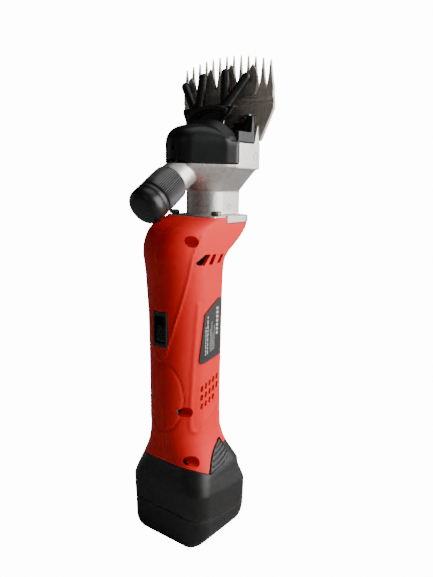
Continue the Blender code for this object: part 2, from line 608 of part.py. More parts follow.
def head_casting():
    neck = [bell_ring(FLANGE_Z[1] - 1.0, NECK_RADIUS, 0.0), bell_ring(NECK_TOP_Z, NECK_RADIUS, 0.0),
            bell_ring((NECK_TOP_Z + BELL_TOP_Z) / 2, NECK_RADIUS, 0.0), bell_ring(BELL_TOP_Z, NECK_RADIUS, 0.0),
            bell_ring(COVER_Z - GAP, NECK_RADIUS, 0.0)]
    casting = finish("head_casting", skin(neck), CAST)

    half = 24.2
    outline = [(-half + 3, FLANGE_FRONT_Y), (half - 3, FLANGE_FRONT_Y), (half, FLANGE_FRONT_Y + 3)]
    outline += arc(half - 9.0, 40.6 - 9.0, 9.0, 0, 90, 5) + arc(-half + 9.0, 40.6 - 9.0, 9.0, 90, 180, 5)
    outline.append((-half, FLANGE_FRONT_Y + 3))
    added = [finish("flange", prism_z(outline, *FLANGE_Z), CAST)]
    sides = box((-HEAD_HALF, 12.2, 272.0), (HEAD_HALF, HEAD_BACK_Y, SIDE_TOP_Z))
    added.append(finish("side_walls", sides, CAST))
    back = box((-HEAD_HALF + 3.2, 31.0, 272.6), (HEAD_HALF - 3.2, HEAD_BACK_Y - 0.2, BACK_TOP_Z))
    added.append(finish("back_wall", back, CAST))
    for s in (1, -1):
        lug = box((min(s * 15, s * 29), 28.6, 298.0), (max(s * 15, s * 29), 37.6, 314.0))
        added.append(finish(f"comb_lug_{s}", lug, CAST))
    boss = along(rod(BOSS_RADIUS, 34.0), knob_point(0.0), KNOB_IN)
    added.append(finish("tension_boss", boss, CAST))
    boolean(casting, added, 'UNION')

    inside = [bell_ring(z, NECK_RADIUS, 3.0) for z in (259.4, (259.4 + BELL_TOP_Z) / 2, BELL_TOP_Z)]
    top = [(min(max(x, -27.6), 27.6), min(y, 31.4), 320.0) for x, y, z in inside[-1]]
    inside = [[(x, min(y, 31.4), z) for x, y, z in ring] for ring in inside] + [top]
    web = turned(((0, 255.9), (9.3, 255.9), (9.3, 262.0), (0, 262.0)), (0, CRANK_Y))
    bore = turned(((0, 230.0), (BEARING_RADIUS, 230.0), (BEARING_RADIUS, 256.5), (0, 256.5)), (0, CRANK_Y))
    sleeve = along(rod(7.35, 50.0), knob_point(-9.0), KNOB_IN)
    above = box((-60.0, -40.0, COVER_Z - GAP), (60.0, 12.0, 330.0))
    taken = [finish("comb_seat", box((-60, COMB_SEAT_Y, 291.0), (60, 60, 330.0)), CAST),
             finish("head_cavity", skin(inside), CAST), finish("crank_space", web, CAST),
             finish("bearing_bore", bore, CAST), finish("sleeve_bore", sleeve, CAST),
             finish("cover_space", above, CAST),
             finish("post_bore", along(rod(3.3, 20.0), (0, 30.0, PIVOT_Z), (0, 1, 0)), CAST)]
    for s in (1, -1):
        hole = along(rod(2.9, 20.0), (s * 22.0, 26.0, 306.5), (0, 1, 0))
        taken.append(finish(f"comb_screw_hole_{s}", hole, CAST))
        for y in (2.2, 33.0):
            hole = ((0, 230), (2.3, 230), (2.3, 245), (0, 245))
            if y > CRANK_Y:
                hole = ((0, 230), (2.3, 230), (2.3, 237.2), (4.0, 238.9), (4.0, 245), (0, 245))
            hole = turned(hole, (s * 19.4, y), 14)
            taken.append(finish(f"flange_hole_{s}_{int(y)}", hole, CAST))
    boolean(casting, taken, 'DIFFERENCE')

    low = FLANGE_Z[0] + GAP
    profile = ((0, low), (2.0, low), (2.0, FLANGE_Z[1] + GAP), (3.7, FLANGE_Z[1] + GAP), (3.7, 242.0),
               (3.0, 242.7), (1.7, 242.7), (1.7, 241.0), (0, 241.0))
    sunk = ((0, low), (2.0, low), (2.0, 237.1), (3.6, 238.7), (3.6, 239.1), (1.7, 239.1), (1.7, 237.8),
            (0, 237.8))
    for s, side in ((1, "right"), (-1, "left")):
        for y, place, shape in ((2.2, "front", profile), (33.0, "back", sunk)):
            finish(f"flange_screw_{place}_{side}", turned(shape, (s * 19.4, y), 14), DARK_STEEL)


def hood(inset, below):
    """The cover's outer shape: the head's plan closed by an arched roof that rises to the back."""
    back = 12.0 + below
    columns = []
    count = 24
    reach = HEAD_HALF - inset
    for k in range(count + 1):
        x = reach * math.sin(math.pi * (k / count - 0.5))
        front = hood_front(x, inset)
        shoulder = SIDE_TOP_Z - inset + 3.4 * (1.0 - (x / reach) ** 2)
        crown = SIDE_TOP_Z + 2.4 - inset + 14.8 * (1.0 - abs(x / reach) ** 2.4)
        brim = max(crown - 4.6, shoulder + 0.4)
        brim_y = min(max(4.2, front + 2.4), 11.8)
        column = [(x, front, COVER_Z - below), (x, front, shoulder - 3.0), (x, front + 1.2, shoulder - 0.6)]
        for step in range(1, 6):
            t = step / 5
            y = front + 1.2 + (brim_y - front - 1.2) * t
            column.append((x, y, shoulder - 0.6 + (brim - shoulder + 0.6) * math.sin(t * math.pi / 2)))
        column += [(x, back, crown), (x, back, COVER_Z - below)]
        columns.append(column)
    return skin(columns)


def hood_front(x, inset):
    """Front of the head's plan at a distance x from the middle."""
    outline = [p for p in head_outline(inset) if p[1] < 12.5]
    for (x0, y0), (x1, y1) in zip(outline, outline[1:]):
        if x0 <= x <= x1 and x1 > x0:
            return y0 + (y1 - y0) * (x - x0) / (x1 - x0)
    return outline[-1][1]


def head_cover():
    cover = finish("head_cover", hood(0.0, 0.0), BLACK)
    bands = []
    for s in (1, -1):
        band = box((min(s * 25.0, s * HEAD_HALF), 11.0, SIDE_TOP_Z + GAP),
                   (max(s * 25.0, s * HEAD_HALF), 30.6, 297.6))
        bands.append(finish(f"side_band_{s}", band, BLACK))
    boolean(cover, bands, 'UNION')
    inner = box((-28.4, 11.0, 280.0), (28.4, 40.0, 312.0))
    boss = along(rod(BOSS_RADIUS + 0.5, 50.0), knob_point(-5.0), KNOB_IN)
    oil = along(rod(1.6, 10.0, 20), (0.0, -30.0, 285.0), (0, 1, 0))
    boolean(cover, [finish("hood_inside", hood(2.2, 8.0), BLACK), finish("fork_way", inner, BLACK),
                    finish("boss_clearance", boss, BLACK), finish("oil_hole", oil, BLACK)], 'DIFFERENCE')


def tension():
    sleeve = ((4.3, -GRIP_LENGTH), (7.0, -GRIP_LENGTH), (7.0, 18.0), (4.3, 18.0))
    start = knob_point(0.0)
    finish("tension_sleeve", along(turned(sleeve), start, KNOB_IN), STEEL)
    pin = ((0, -GRIP_LENGTH - 2.0), (3.9, -GRIP_LENGTH - 2.0), (3.9, 39.0), (2.6, 42.6), (0, 43.8))
    finish("tension_pin", along(turned(pin, steps=20), start, KNOB_IN), STEEL, at=start)
    r = KNOB_RADIUS
    top = GRIP_LENGTH
    grip = ((7.4, 0.4), (r - 0.8, 0.4), (r, 1.4), (r, top - 0.8), (r - 0.8, top), (7.4, top))
    outward = -KNOB_IN
    finish("tension_knob_grip", along(turned(grip), start, outward), BLACK, at=start)
    low = top + GAP
    round_from = low + CAP_LENGTH - 6.6
    dome = [(0, low + 2.2), (7.4, low + 2.2), (7.4, low), (r - 0.5, low), (r, low + 0.9), (r, round_from)]
    for k in range(1, 8):
        a = math.radians(90 * k / 8)
        dome.append((r - 5.0 + 5.0 * math.cos(a), round_from + 6.0 * math.sin(a)))
    dome += [(r - 5.0, round_from + 6.0), (0, low + CAP_LENGTH)]
    finish("tension_knob_cap", along(turned(dome), start, outward), BLACK, at=start)


def fork_and_cutter():
    hub = empty("fork_axis", (0, FORK_Y[0], PIVOT_Z))
    right = [(13.8, 264.2), (17.4, 264.2), (18.2, 271.0), (15.0, 280.0), (10.5, 287.0), (9.5, 296.0),
             (12.4, 302.6), (19.6, 308.0), (22.6, 313.0), (29.2, 333.0), (28.4, 336.4), (25.0, 336.8),
             (17.6, 324.6), (14.0, 340.0), (11.2, 342.6), (7.9, 340.4), (10.4, 317.0), (5.2, 316.2),
             (0.0, 316.6)]
    outline = right + [(-x, z) for x, z in reversed(right[:-1])] + [(-13.8, 274.2), (13.8, 274.2)]
    bm = prism_y(outline, *FORK_Y)
    for v in bm.verts:
        rise = min(max((v.co.z - 304.0) / 32.0, 0.0), 1.0)
        front = v.co.y < sum(FORK_Y) / 2
        v.co.y += (12.1 if front else 8.1) * rise
    fork = finish("fork", bm, FORGED, at=(0, FORK_Y[0], PIVOT_Z), parent=hub)
    pegs = []
    for k, (x, z) in enumerate(((26.2, 332.6), (10.2, 337.6), (-10.2, 337.6), (-26.2, 332.6))):
        peg = along(rod(1.5, 5.0, 16), (x, CUTTER_Y[0] - 5.3, z), (0, 1, 0))
        pegs.append(finish(f"fork_peg_{k}", peg, FORGED, at=(0, FORK_Y[0], PIVOT_Z), parent=hub))
    boolean(fork, pegs, 'UNION')
    window = ((-6.8, 301.6), (6.8, 301.6), (12.4, 306.4), (9.0, 310.2), (3.6, 312.2), (-3.6, 312.2),
              (-9.0, 310.2), (-12.4, 306.4))
    window = prism_y(window, 0.0, 40.0)
    window = finish("fork_window", window, FORGED, at=(0, FORK_Y[0], PIVOT_Z), parent=hub)
    boolean(fork, [window], 'DIFFERENCE')

    points = []
    for x, tip in ((-28.2, 343.4), (-9.4, 346.4), (9.4, 346.4), (28.2, 343.4)):
        points += [(x - 4.4, 330.6), (x - 3.6, 336.0), (x - 2.2, tip - 3.6), (x, tip), (x + 2.2, tip - 3.6),
                   (x + 3.6, 336.0), (x + 4.4, 330.6)]
        if x < 28:
            points.append((x + 9.4, 327.6))
    points += [(31.4, 324.0), (27.0, 321.0), (12.0, 320.0), (-12.0, 320.0), (-27.0, 321.0), (-31.4, 324.0)]
    finish("cutter", prism_y(points, *CUTTER_Y), BLADE, at=(0, FORK_Y[0], PIVOT_Z), parent=hub)
    hub.rotation_euler.y = math.radians(-SWING)

    post = ((0, 22.0), (2.0, 22.4), (3.0, 24.0), (3.0, 34.6), (0, 34.6))
    finish("centre_post", along(turned(post, steps=16), (0, 0, PIVOT_Z), (0, 1, 0)), STEEL)


def comb():
    points = []
    half = (TEETH - 1) / 2
    for k in range(TEETH):
        x = (k - half) * PITCH
        tip = TIP_Z - TIP_SAG * (x / (half * PITCH)) ** 2
        root = ROOT_Z - 1.4 * (x / (half * PITCH)) ** 2
        if k:
            points += [(x - PITCH / 2 - 0.8, root - 1.0), (x - PITCH / 2 + 0.8, root - 1.0)]
        else:
            points.append((x - 3.2, 318.0))
        points += [(x - 1.6, root + 1.6), (x - 0.4, tip), (x + 0.4, tip), (x + 1.6, root + 1.6)]
    edge = [(41.5, 318.0), (41.5, 314.5), (31.0, 291.6), (25.6, 296.0), (25.6, 308.6), (22.0, 311.6),
            (18.4, 308.6), (18.4, 296.0)]
    points += edge[1:] + [(-x, z) for x, z in reversed(edge[1:])]
    finish("comb", prism_y(points, *COMB_Y), BLADE)
    for s, side in ((1, "right"), (-1, "left")):
        top = COMB_Y[1] + 2.8
        profile = ((0, 27.6), (2.5, 27.6), (2.5, COMB_Y[1] + GAP), (5.4, COMB_Y[1] + GAP), (5.4, top - 0.8),
                   (4.6, top), (0.9, top), (0.9, top - 1.2), (0, top - 1.2))
        bm = along(turned(profile, steps=16), (s * 22.0, 0, 306.5), (0, 1, 0))
        finish(f"comb_screw_{side}", bm, DARK_STEEL)


shell_halves()
side_labels()
switch()
electronics()
battery()
motor()
drive()
head_casting()
head_cover()
tension()
fork_and_cutter()
comb()
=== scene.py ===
"""The looks of the cordless sheep shears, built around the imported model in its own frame."""

import json
import math

import bmesh
import bpy
from mathutils import Matrix, Vector


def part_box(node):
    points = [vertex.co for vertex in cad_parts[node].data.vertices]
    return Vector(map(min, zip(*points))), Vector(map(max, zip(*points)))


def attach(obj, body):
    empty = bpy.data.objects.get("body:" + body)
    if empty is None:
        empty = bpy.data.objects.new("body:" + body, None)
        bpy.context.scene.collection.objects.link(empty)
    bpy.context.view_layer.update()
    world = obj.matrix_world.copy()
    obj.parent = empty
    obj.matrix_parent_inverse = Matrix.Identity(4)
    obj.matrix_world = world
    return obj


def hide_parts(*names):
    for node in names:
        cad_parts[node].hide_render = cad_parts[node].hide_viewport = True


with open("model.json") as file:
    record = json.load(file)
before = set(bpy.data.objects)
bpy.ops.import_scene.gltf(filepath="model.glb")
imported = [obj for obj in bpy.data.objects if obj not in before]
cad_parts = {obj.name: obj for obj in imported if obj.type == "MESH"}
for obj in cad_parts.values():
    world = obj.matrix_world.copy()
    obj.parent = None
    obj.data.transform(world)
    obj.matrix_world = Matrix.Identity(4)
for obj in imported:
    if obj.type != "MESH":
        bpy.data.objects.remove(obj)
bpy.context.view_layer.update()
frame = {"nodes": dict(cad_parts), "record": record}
NODES = frame["nodes"]
MM = 0.001
GAP = 0.3
WALL = 2.5
STREAK_STRENGTH = 0.35
BACKDROP_GLOW = 14.0


# ---- materials

def node(tree, kind, **values):
    """A shader node with some of its properties or inputs set."""
    made = tree.nodes.new(kind)
    for key, value in values.items():
        if hasattr(made, key):
            setattr(made, key, value)
        else:
            made.inputs[key.replace("_", " ")].default_value = value
    return made


def scaled(colour, factor):
    return tuple(min(c * factor, 1.0) for c in colour) + (1.0,)


def feed(tree, socket, value):
    """Give an input a fixed value, or link it to another node's output."""
    if isinstance(value, bpy.types.NodeSocket):
        tree.links.new(value, socket)
    else:
        socket.default_value = value


def mixed(tree, factor, a, b, blend='MIX'):
    """The colour that comes out of mixing two others."""
    made = tree.nodes.new("ShaderNodeMix")
    made.data_type = 'RGBA'
    made.blend_type = blend
    for key, value in (("Factor", factor), ("A", a), ("B", b)):
        feed(tree, made.inputs[key], value)
    return made.outputs["Result"]


def ranged(tree, value, *limits):
    """A value carried from one range to another."""
    made = tree.nodes.new("ShaderNodeMapRange")
    for key, limit in zip(("From Min", "From Max", "To Min", "To Max"), limits):
        made.inputs[key].default_value = limit
    tree.links.new(value, made.inputs["Value"])
    return made.outputs["Result"]


def surface(name, colour, roughness, metallic=0.0, variation=0.12, patch=60.0, grain=900.0, depth=0.02,
            rough_spread=0.08, edge_wear_and_shade=None, streak=None, coat=0.0, sheen=0.5):
    """A moulded, cast or ground surface: patchy colour, uneven roughness, a fine grain and edges of another
    colour, worn on most finishes and painted shade on the cutter blade.
    """
    mat = bpy.data.materials.new(name)
    mat.use_nodes = True
    tree = mat.node_tree
    link = tree.links.new
    shader = tree.nodes["Principled BSDF"]
    shader.inputs["Specular IOR Level"].default_value = sheen
    shader.inputs["Metallic"].default_value = metallic
    shader.inputs["Coat Weight"].default_value = coat
    shader.inputs["Coat Roughness"].default_value = 0.25
    coordinates = tree.nodes.new("ShaderNodeTexCoord").outputs["Object"]
    mapping = tree.nodes.new("ShaderNodeMapping")
    mapping.inputs["Scale"].default_value = streak or (1.0, 1.0, 1.0)
    link(coordinates, mapping.inputs["Vector"])
    patches = node(tree, "ShaderNodeTexNoise", Scale=patch, Detail=5.0, Roughness=0.6)
    link(coordinates, patches.inputs["Vector"])
    patches = patches.outputs["Fac"]
    grains = node(tree, "ShaderNodeTexNoise", Scale=grain, Detail=3.0, Roughness=0.55)
    link(mapping.outputs["Vector"], grains.inputs["Vector"])
    grains = grains.outputs["Fac"]
    out = mixed(tree, patches, scaled(colour, 1.0 - variation), scaled(colour, 1.0 + variation))
    if streak:
        lines = ranged(tree, grains, 0.3, 0.7, 0.45, 1.25)
        out = mixed(tree, STREAK_STRENGTH, out, lines, 'MULTIPLY')
    # Colour on convex edges: wear on most finishes; the cutter blade's dark edges are painted shade from the gaps
    # between the plates.
    if edge_wear_and_shade:
        edges = tree.nodes.new("ShaderNodeNewGeometry").outputs["Pointiness"]
        out = mixed(tree, ranged(tree, edges, 0.515, 0.6, 0.0, 0.8), out, (*edge_wear_and_shade, 1.0))
    link(out, shader.inputs["Base Color"])
    low, high = max(roughness - rough_spread, 0.05), min(roughness + rough_spread, 1.0)
    link(ranged(tree, patches, 0.0, 1.0, low, high), shader.inputs["Roughness"])
    bump = node(tree, "ShaderNodeBump", Strength=0.5, Distance=depth * MM)
    link(grains, bump.inputs["Height"])
    link(bump.outputs["Normal"], shader.inputs["Normal"])
    return mat


RED = surface("red_moulding", (0.82, 0.013, 0.01), 0.52, sheen=0.22, variation=0.05, patch=25.0, grain=1500.0,
              depth=0.03, edge_wear_and_shade=(0.85, 0.03, 0.02))
BLACK = surface("black_moulding", (0.006, 0.006, 0.0055), 0.42, sheen=0.4, grain=1600.0, depth=0.05,
                edge_wear_and_shade=(0.05, 0.05, 0.05))
COVER = surface("cover_moulding", (0.004, 0.004, 0.0045), 0.36, sheen=0.38, grain=1400.0, depth=0.04,
                edge_wear_and_shade=(0.06, 0.06, 0.062))
# Painted shade: a near-black sheet without gloss, put behind the slots where the inside of the shell is in shade.
SLOT_SHADE = surface("dust_screen_felt", (0.004, 0.004, 0.004), 1.0, patch=300.0, grain=600.0, depth=0.2,
                 rough_spread=0.0, sheen=0.0)
RUBBER = surface("knob_moulding", (0.006, 0.006, 0.006), 0.36, sheen=0.45, grain=1500.0, depth=0.04,
                 edge_wear_and_shade=(0.05, 0.05, 0.05))
CAST = surface("cast_aluminium_skin", (0.56, 0.54, 0.515), 0.4, 0.88, variation=0.22, patch=420.0, grain=620.0,
               depth=0.55)
STEEL = surface("bright_steel", (0.6, 0.59, 0.57), 0.28, 1.0, streak=(1.0, 1.0, 0.2))
# Painted shade: the blade's near-black edges stand in for the shadowed gaps between the cutter and comb plates.
BLADE = surface("ground_blade", (0.5, 0.465, 0.4), 0.45, 0.2, variation=0.25, patch=90.0, grain=500.0,
                streak=(4.0, 1.0, 0.12), edge_wear_and_shade=(0.03, 0.03, 0.028))
COMB = surface("ground_comb", (0.7, 0.62, 0.53), 0.46, 0.1, variation=0.22, patch=80.0, grain=500.0,
               streak=(4.0, 1.0, 0.12), edge_wear_and_shade=(0.6, 0.56, 0.5))
FORGED = surface("blackened_forging", (0.014, 0.014, 0.0135), 0.36, 0.3, variation=0.3, grain=800.0, depth=0.06,
                 edge_wear_and_shade=(0.12, 0.115, 0.11))
DARK = surface("black_oxide", (0.05, 0.045, 0.04), 0.38, 0.9, variation=0.25, edge_wear_and_shade=(0.3, 0.28, 0.25))
FILM = surface("label_film_skin", (0.012, 0.012, 0.013), 0.3, grain=1800.0, depth=0.01, coat=0.3)
PRINT = surface("label_print", (0.55, 0.55, 0.54), 0.5, grain=1500.0, depth=0.01)
SLEEVE = surface("cell_sleeve_film", (0.02, 0.16, 0.3), 0.35)
BOARD = surface("board_mask", (0.02, 0.16, 0.07), 0.45)
COPPER = surface("winding", (0.7, 0.3, 0.12), 0.4, 1.0, streak=(1.0, 1.0, 6.0), grain=500.0)
BRASS = surface("brass_blades", (0.72, 0.52, 0.2), 0.32, 1.0)

CAD_FINISH = {
    "red_plastic": RED, "black_plastic": BLACK, "cast_aluminium": CAST, "steel": STEEL, "ground_steel": BLADE,
    "blackened_steel": FORGED, "dark_steel": DARK, "label_film": FILM, "cell_sleeve": SLEEVE,
    "circuit_board": BOARD, "copper_winding": COPPER, "brass": BRASS, "button_plastic": BLACK,
}
SLOT_OF = {row["node"]: row["material_slot"] for row in frame["record"]["subparts"]}
for name, obj in NODES.items():
    finish = CAD_FINISH.get(SLOT_OF[name], BLACK)
    for i in range(len(obj.material_slots)):
        obj.material_slots[i].material = finish


# ---- mesh helpers

def new_object(name, data):
    obj = bpy.data.objects.new(name, data)
    bpy.context.scene.collection.objects.link(obj)
    return obj


def put(name, bm, mat, body, stands_for=(), smooth=40.0):
    """A piece from a bmesh in millimetres, riding a body."""
    bmesh.ops.remove_doubles(bm, verts=bm.verts, dist=1e-4)
    bmesh.ops.recalc_face_normals(bm, faces=bm.faces)
    bm.transform(Matrix.Scale(MM, 4))
    mesh = bpy.data.meshes.new(name)
    bm.to_mesh(mesh)
    bm.free()
    return place(name, mesh, mat, body, stands_for, smooth)


def place(name, mesh, mat, body, stands_for=(), smooth=40.0):
    """A piece from a mesh in metres, with its material, body and the CAD nodes it stands for."""
    mesh.materials.clear()
    mesh.materials.append(mat)
    mesh.shade_smooth()
    mesh.set_sharp_from_angle(angle=math.radians(smooth))
    obj = new_object(name, mesh)
    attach(obj, body)
    if stands_for:
        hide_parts(*stands_for)
    return obj


def solid(bm):
    """A working object from a bmesh in millimetres, for Boolean work."""
    bmesh.ops.remove_doubles(bm, verts=bm.verts, dist=1e-4)
    bmesh.ops.triangulate(bm, faces=bm.faces)
    bmesh.ops.recalc_face_normals(bm, faces=bm.faces)
    if bm.calc_volume(signed=True) < 0:
        bmesh.ops.reverse_faces(bm, faces=bm.faces)
    mesh = bpy.data.meshes.new("tool")
    bm.to_mesh(mesh)
    bm.free()
    return new_object("tool", mesh)


def applied(obj):
    """The object's mesh with its modifiers applied; the object itself is removed."""
    graph = bpy.context.evaluated_depsgraph_get()
    mesh = bpy.data.meshes.new_from_object(obj.evaluated_get(graph))
    bpy.data.objects.remove(obj, do_unlink=True)
    return mesh


def combined(target, others, operation):
    """A target object with several bmeshes or objects added or taken away."""
    group = bpy.data.collections.new("tools")
    others = [other if isinstance(other, bpy.types.Object) else solid(other) for other in others]
    for other in others:
        group.objects.link(other)
    mod = target.modifiers.new(operation, 'BOOLEAN')
    mod.operation = operation
    mod.solver = 'EXACT'
    mod.operand_type = 'COLLECTION'
    mod.collection = group
    mesh = applied(target)
    for other in others:
        bpy.data.objects.remove(other, do_unlink=True)
    bpy.data.collections.remove(group)
    return new_object("tool", mesh)


def softened(obj, voxel, rounds):
    """A mesh remeshed to an even grid and smoothed, so that its edges become small fillets."""
    remesh = obj.modifiers.new("remesh", 'REMESH')
    remesh.mode = 'VOXEL'
    remesh.voxel_size = voxel
    relax = obj.modifiers.new("relax", 'SMOOTH')
    relax.factor = 0.5
    relax.iterations = rounds
    return applied(obj)


def in_metres(mesh):
    mesh.transform(Matrix.Scale(MM, 4))
    return mesh


def skin(rings):
    """A solid through rings of equally many points, with its two ends capped."""
    bm = bmesh.new()
    rows = [[bm.verts.new(p) for p in ring] for ring in rings]
    count = len(rings[0])
    for low, high in zip(rows, rows[1:]):
        for i in range(count):
            j = (i + 1) % count
            bm.faces.new((low[i], low[j], high[j], high[i]))
    bm.faces.new(rows[0])
    bm.faces.new(rows[-1])
    return bm


def turned(profile, centre=(0.0, 0.0), steps=48):
    """A solid of revolution about a vertical axis from a closed profile of (radius, height)."""
    bm = bmesh.new()
    rows = []
    for radius, height in profile:
        row = []
        for k in range(1 if radius < 1e-6 else steps):
            turn = 2.0 * math.pi * k / steps
            x = centre[0] + radius * math.cos(turn)
            y = centre[1] + radius * math.sin(turn)
            row.append(bm.verts.new((x, y, height)))
        rows.append(row)
    for low, high in zip(rows, rows[1:] + rows[:1]):
        if len(low) == 1 and len(high) == 1:
            continue
        for k in range(steps):
            n = (k + 1) % steps
            corners = [low[k % len(low)], low[n % len(low)], high[n % len(high)], high[k % len(high)]]
            bm.faces.new(list(dict.fromkeys(corners)))
    return bm


def joined(parts):
    """Several bmeshes in one."""
    result = bmesh.new()
    for part in parts:
        mesh = bpy.data.meshes.new("part")
        part.to_mesh(mesh)
        part.free()
        result.from_mesh(mesh)
    return result


def prism_z(outline, low, high):
    return skin([[(x, y, low) for x, y in outline], [(x, y, high) for x, y in outline]])


def prism_y(outline, low, high):
    return skin([[(x, low, z) for x, z in outline], [(x, high, z) for x, z in outline]])


def prism_x(outline, low, high):
    return skin([[(low, y, z) for y, z in outline], [(high, y, z) for y, z in outline]])


def box(low, high):
    outline = ((low[0], low[1]), (high[0], low[1]), (high[0], high[1]), (low[0], high[1]))
    return prism_z(outline, low[2], high[2])


def along(bm, start, direction):
    turn = Vector((0, 0, 1)).rotation_difference(Vector(direction)).to_matrix().to_4x4()
    bm.transform(Matrix.Translation(Vector(start)) @ turn)
    return bm


def rod(radius, length, steps=40):
    return turned(((0.0, 0.0), (radius, 0.0), (radius, length), (0.0, length)), steps=steps)


def arc(cx, cy, radius, start, end, steps):
    points = []
    for k in range(steps + 1):
        a = math.radians(start + (end - start) * k / steps)
        points.append((cx + radius * math.cos(a), cy + radius * math.sin(a)))
    return points


def rounded(corners, radius, steps=5):
    """A polygon with each corner rounded."""
    points = []
    count = len(corners)
    for i in range(count):
        here = Vector(corners[i])
        before = Vector(corners[i - 1]) - here
        after = Vector(corners[(i + 1) % count]) - here
        cut = min(radius, before.length * 0.45, after.length * 0.45)
        a = here + before.normalized() * cut
        b = here + after.normalized() * cut
        for k in range(steps + 1):
            t = k / steps
            p = a * (1 - t) ** 2 + here * 2 * t * (1 - t) + b * t * t
            points.append((p.x, p.y))
    return points


def cut_across(bm, axis, places):
    """Extra edges across a mesh where it meets planes, so that it can bend there."""
    for place_at in places:
        normal = [0.0, 0.0, 0.0]
        normal[axis] = 1.0
        point = [0.0, 0.0, 0.0]
        point[axis] = place_at
        geom = list(bm.verts) + list(bm.edges) + list(bm.faces)
        bmesh.ops.bisect_plane(bm, geom=geom, plane_co=point, plane_no=normal)


# ---- handle and battery skin

BODY = (                        # height, half width, front, back, front corner radius, back corner radius
    (0.0, 27.2, -30.4, 22.8, 7.0, 8.2),
    (2.6, 30.6, -31.6, 25.8, 8.6, 9.6),
    (7.0, 33.6, -32.0, 28.2, 11.0, 11.3),
    (11.5, 34.9, -32.0, 29.4, 12.9, 12.2),
    (20.0, 35.3, -32.3, 30.2, 13.2, 12.5),
    (41.0, 35.5, -33.4, 30.4, 13.6, 12.5),
    (48.0, 33.8, -32.4, 28.2, 15.0, 12.5),
    (58.0, 30.6, -30.8, 23.6, 17.6, 13.0),
    (66.0, 27.6, -30.6, 19.6, 19.0, 13.5),
    (75.0, 24.9, -31.4, 16.6, 20.6, 13.8),
    (86.0, 23.4, -32.4, 14.9, 21.6, 14.0),
    (110.0, 23.2, -33.2, 14.4, 22.0, 14.0),
    (150.0, 23.5, -34.1, 14.3, 22.0, 14.0),
    (180.0, 23.8, -34.8, 14.3, 22.0, 14.0),
    (196.0, 24.0, -36.0, 14.3, 22.0, 13.8),
    (207.0, 24.3, -37.9, 15.0, 22.0, 13.4),
    (213.0, 24.5, -38.8, 18.4, 22.0, 13.0),
    (219.0, 24.7, -38.2, 26.4, 22.0, 12.6),
    (225.0, 24.8, -35.7, 33.8, 21.4, 12.0),
    (230.0, 24.8, -31.6, 38.4, 20.4, 11.5),
    (234.0, 24.6, -24.7, 40.6, 18.2, 11.5),
    (236.6, 24.2, -16.4, 41.0, 15.0, 11.0),
    (238.6, 23.6, -7.4, 41.0, 11.0, 11.0),
)
SEAM_FRONT_Z, SEAM_SIDE_Z, SEAM_BACK_Z = 61.6, 56.0, 70.0
CREASE_Z = (34.0, 58.0)
SKIRT_TOP_Z = 74.0
GROOVE_PITCH, GROOVE_DEPTH = 3.3, 1.1
LATCH_THICKNESS = 3.6
SPLIT_Z = 20.0
SPLIT_LEAN = 0.11
CASE_WALL = 1.6
PLUG_SETBACK = 10.0
SEAM_GAP = 0.04
FLAT_STEPS = 5
SIDE_STEPS = 14
LATCH_LEAF = (                  # height, front edge, back edge
    (54.8, -16.2, -14.6), (56.2, -15.5, -5.0), (57.6, -14.8, 2.2), (59.6, -13.5, 6.4), (62.2, -11.8, 7.9),
    (65.4, -9.2, 7.9), (68.2, -6.5, 6.9), (71.0, -3.2, 5.3), (73.2, 0.4, 3.9), (74.2, 2.0, 3.0),
)


def eased(rows, z):
    """Values between rows of (place, value...), on a curve through them that never overshoots."""
    places = [row[0] for row in rows]
    z = min(max(z, places[0]), places[-1])
    i = max(k for k in range(len(rows) - 1) if places[k] <= z)
    step = places[i + 1] - places[i]
    t = (z - places[i]) / step
    values = []
    for c in range(1, len(rows[0])):
        def rise(k):
            return (rows[k + 1][c] - rows[k][c]) / (places[k + 1] - places[k])

        def slope(k):
            if k == 0:
                return rise(0)
            if k == len(rows) - 1:
                return rise(k - 1)
            a, b = rise(k - 1), rise(k)
            return 0.0 if a * b <= 0 else 2 * a * b / (a + b)
        a, b = rows[i][c], rows[i + 1][c]
        s0, s1 = slope(i) * step, slope(i + 1) * step
        values.append(a * (1 + 2 * t) * (1 - t) ** 2 + s0 * t * (1 - t) ** 2 + b * t * t * (3 - 2 * t)
                      + s1 * t * t * (t - 1))
    return values


def straight(rows, z):
    """Values between rows of (place, value...), on straight lines."""
    i = max(k for k in range(len(rows) - 1) if rows[k][0] <= z)
    t = (z - rows[i][0]) / (rows[i + 1][0] - rows[i][0])
    return [a + (b - a) * t for a, b in zip(rows[i][1:], rows[i + 1][1:])]


def half_plan(z, inset=0.0, seam=0.0, setback=0.0, creased=False):
    """Plan of the right half at a height, from the front seam round the side to the back seam."""
    profile = straight if creased and CREASE_Z[0] < z < CREASE_Z[1] else eased
    half, front, back, front_r, back_r = profile(BODY, z)
    half -= inset
    front += inset + setback
    back -= inset
    front_r = max(front_r - inset, 2.0)
    back_r = max(back_r - inset, 2.0)
    if setback:
        front_r = min(front_r, 10.0)
    points = [(seam + (half - front_r - seam) * k / FLAT_STEPS, front) for k in range(FLAT_STEPS)]
    points += arc(half - front_r, front + front_r, front_r, -90, 0, 34)
    y0, y1 = front + front_r, back - back_r
    points += [(half, y0 + (y1 - y0) * k / SIDE_STEPS) for k in range(1, SIDE_STEPS)]
    points += arc(half - back_r, back - back_r, back_r, 0, 90, 16)
    points += [(seam + (half - back_r - seam) * (1 - k / FLAT_STEPS), back) for k in range(1, FLAT_STEPS + 1)]
    return points


def seam_z(y):
    """Height of the red skirt's lower edge, by how far back on the skin it is."""
    front = eased(BODY, SEAM_FRONT_Z)[1]
    along_side = min(max((y - front) / 14.0, 0.0), 1.0)
    ahead = SEAM_FRONT_Z + (SEAM_SIDE_Z - SEAM_FRONT_Z) * along_side
    rear = min(max((y + 15.0) / 22.5, 0.0), 1.0)
    return ahead + (SEAM_BACK_Z - ahead) * rear


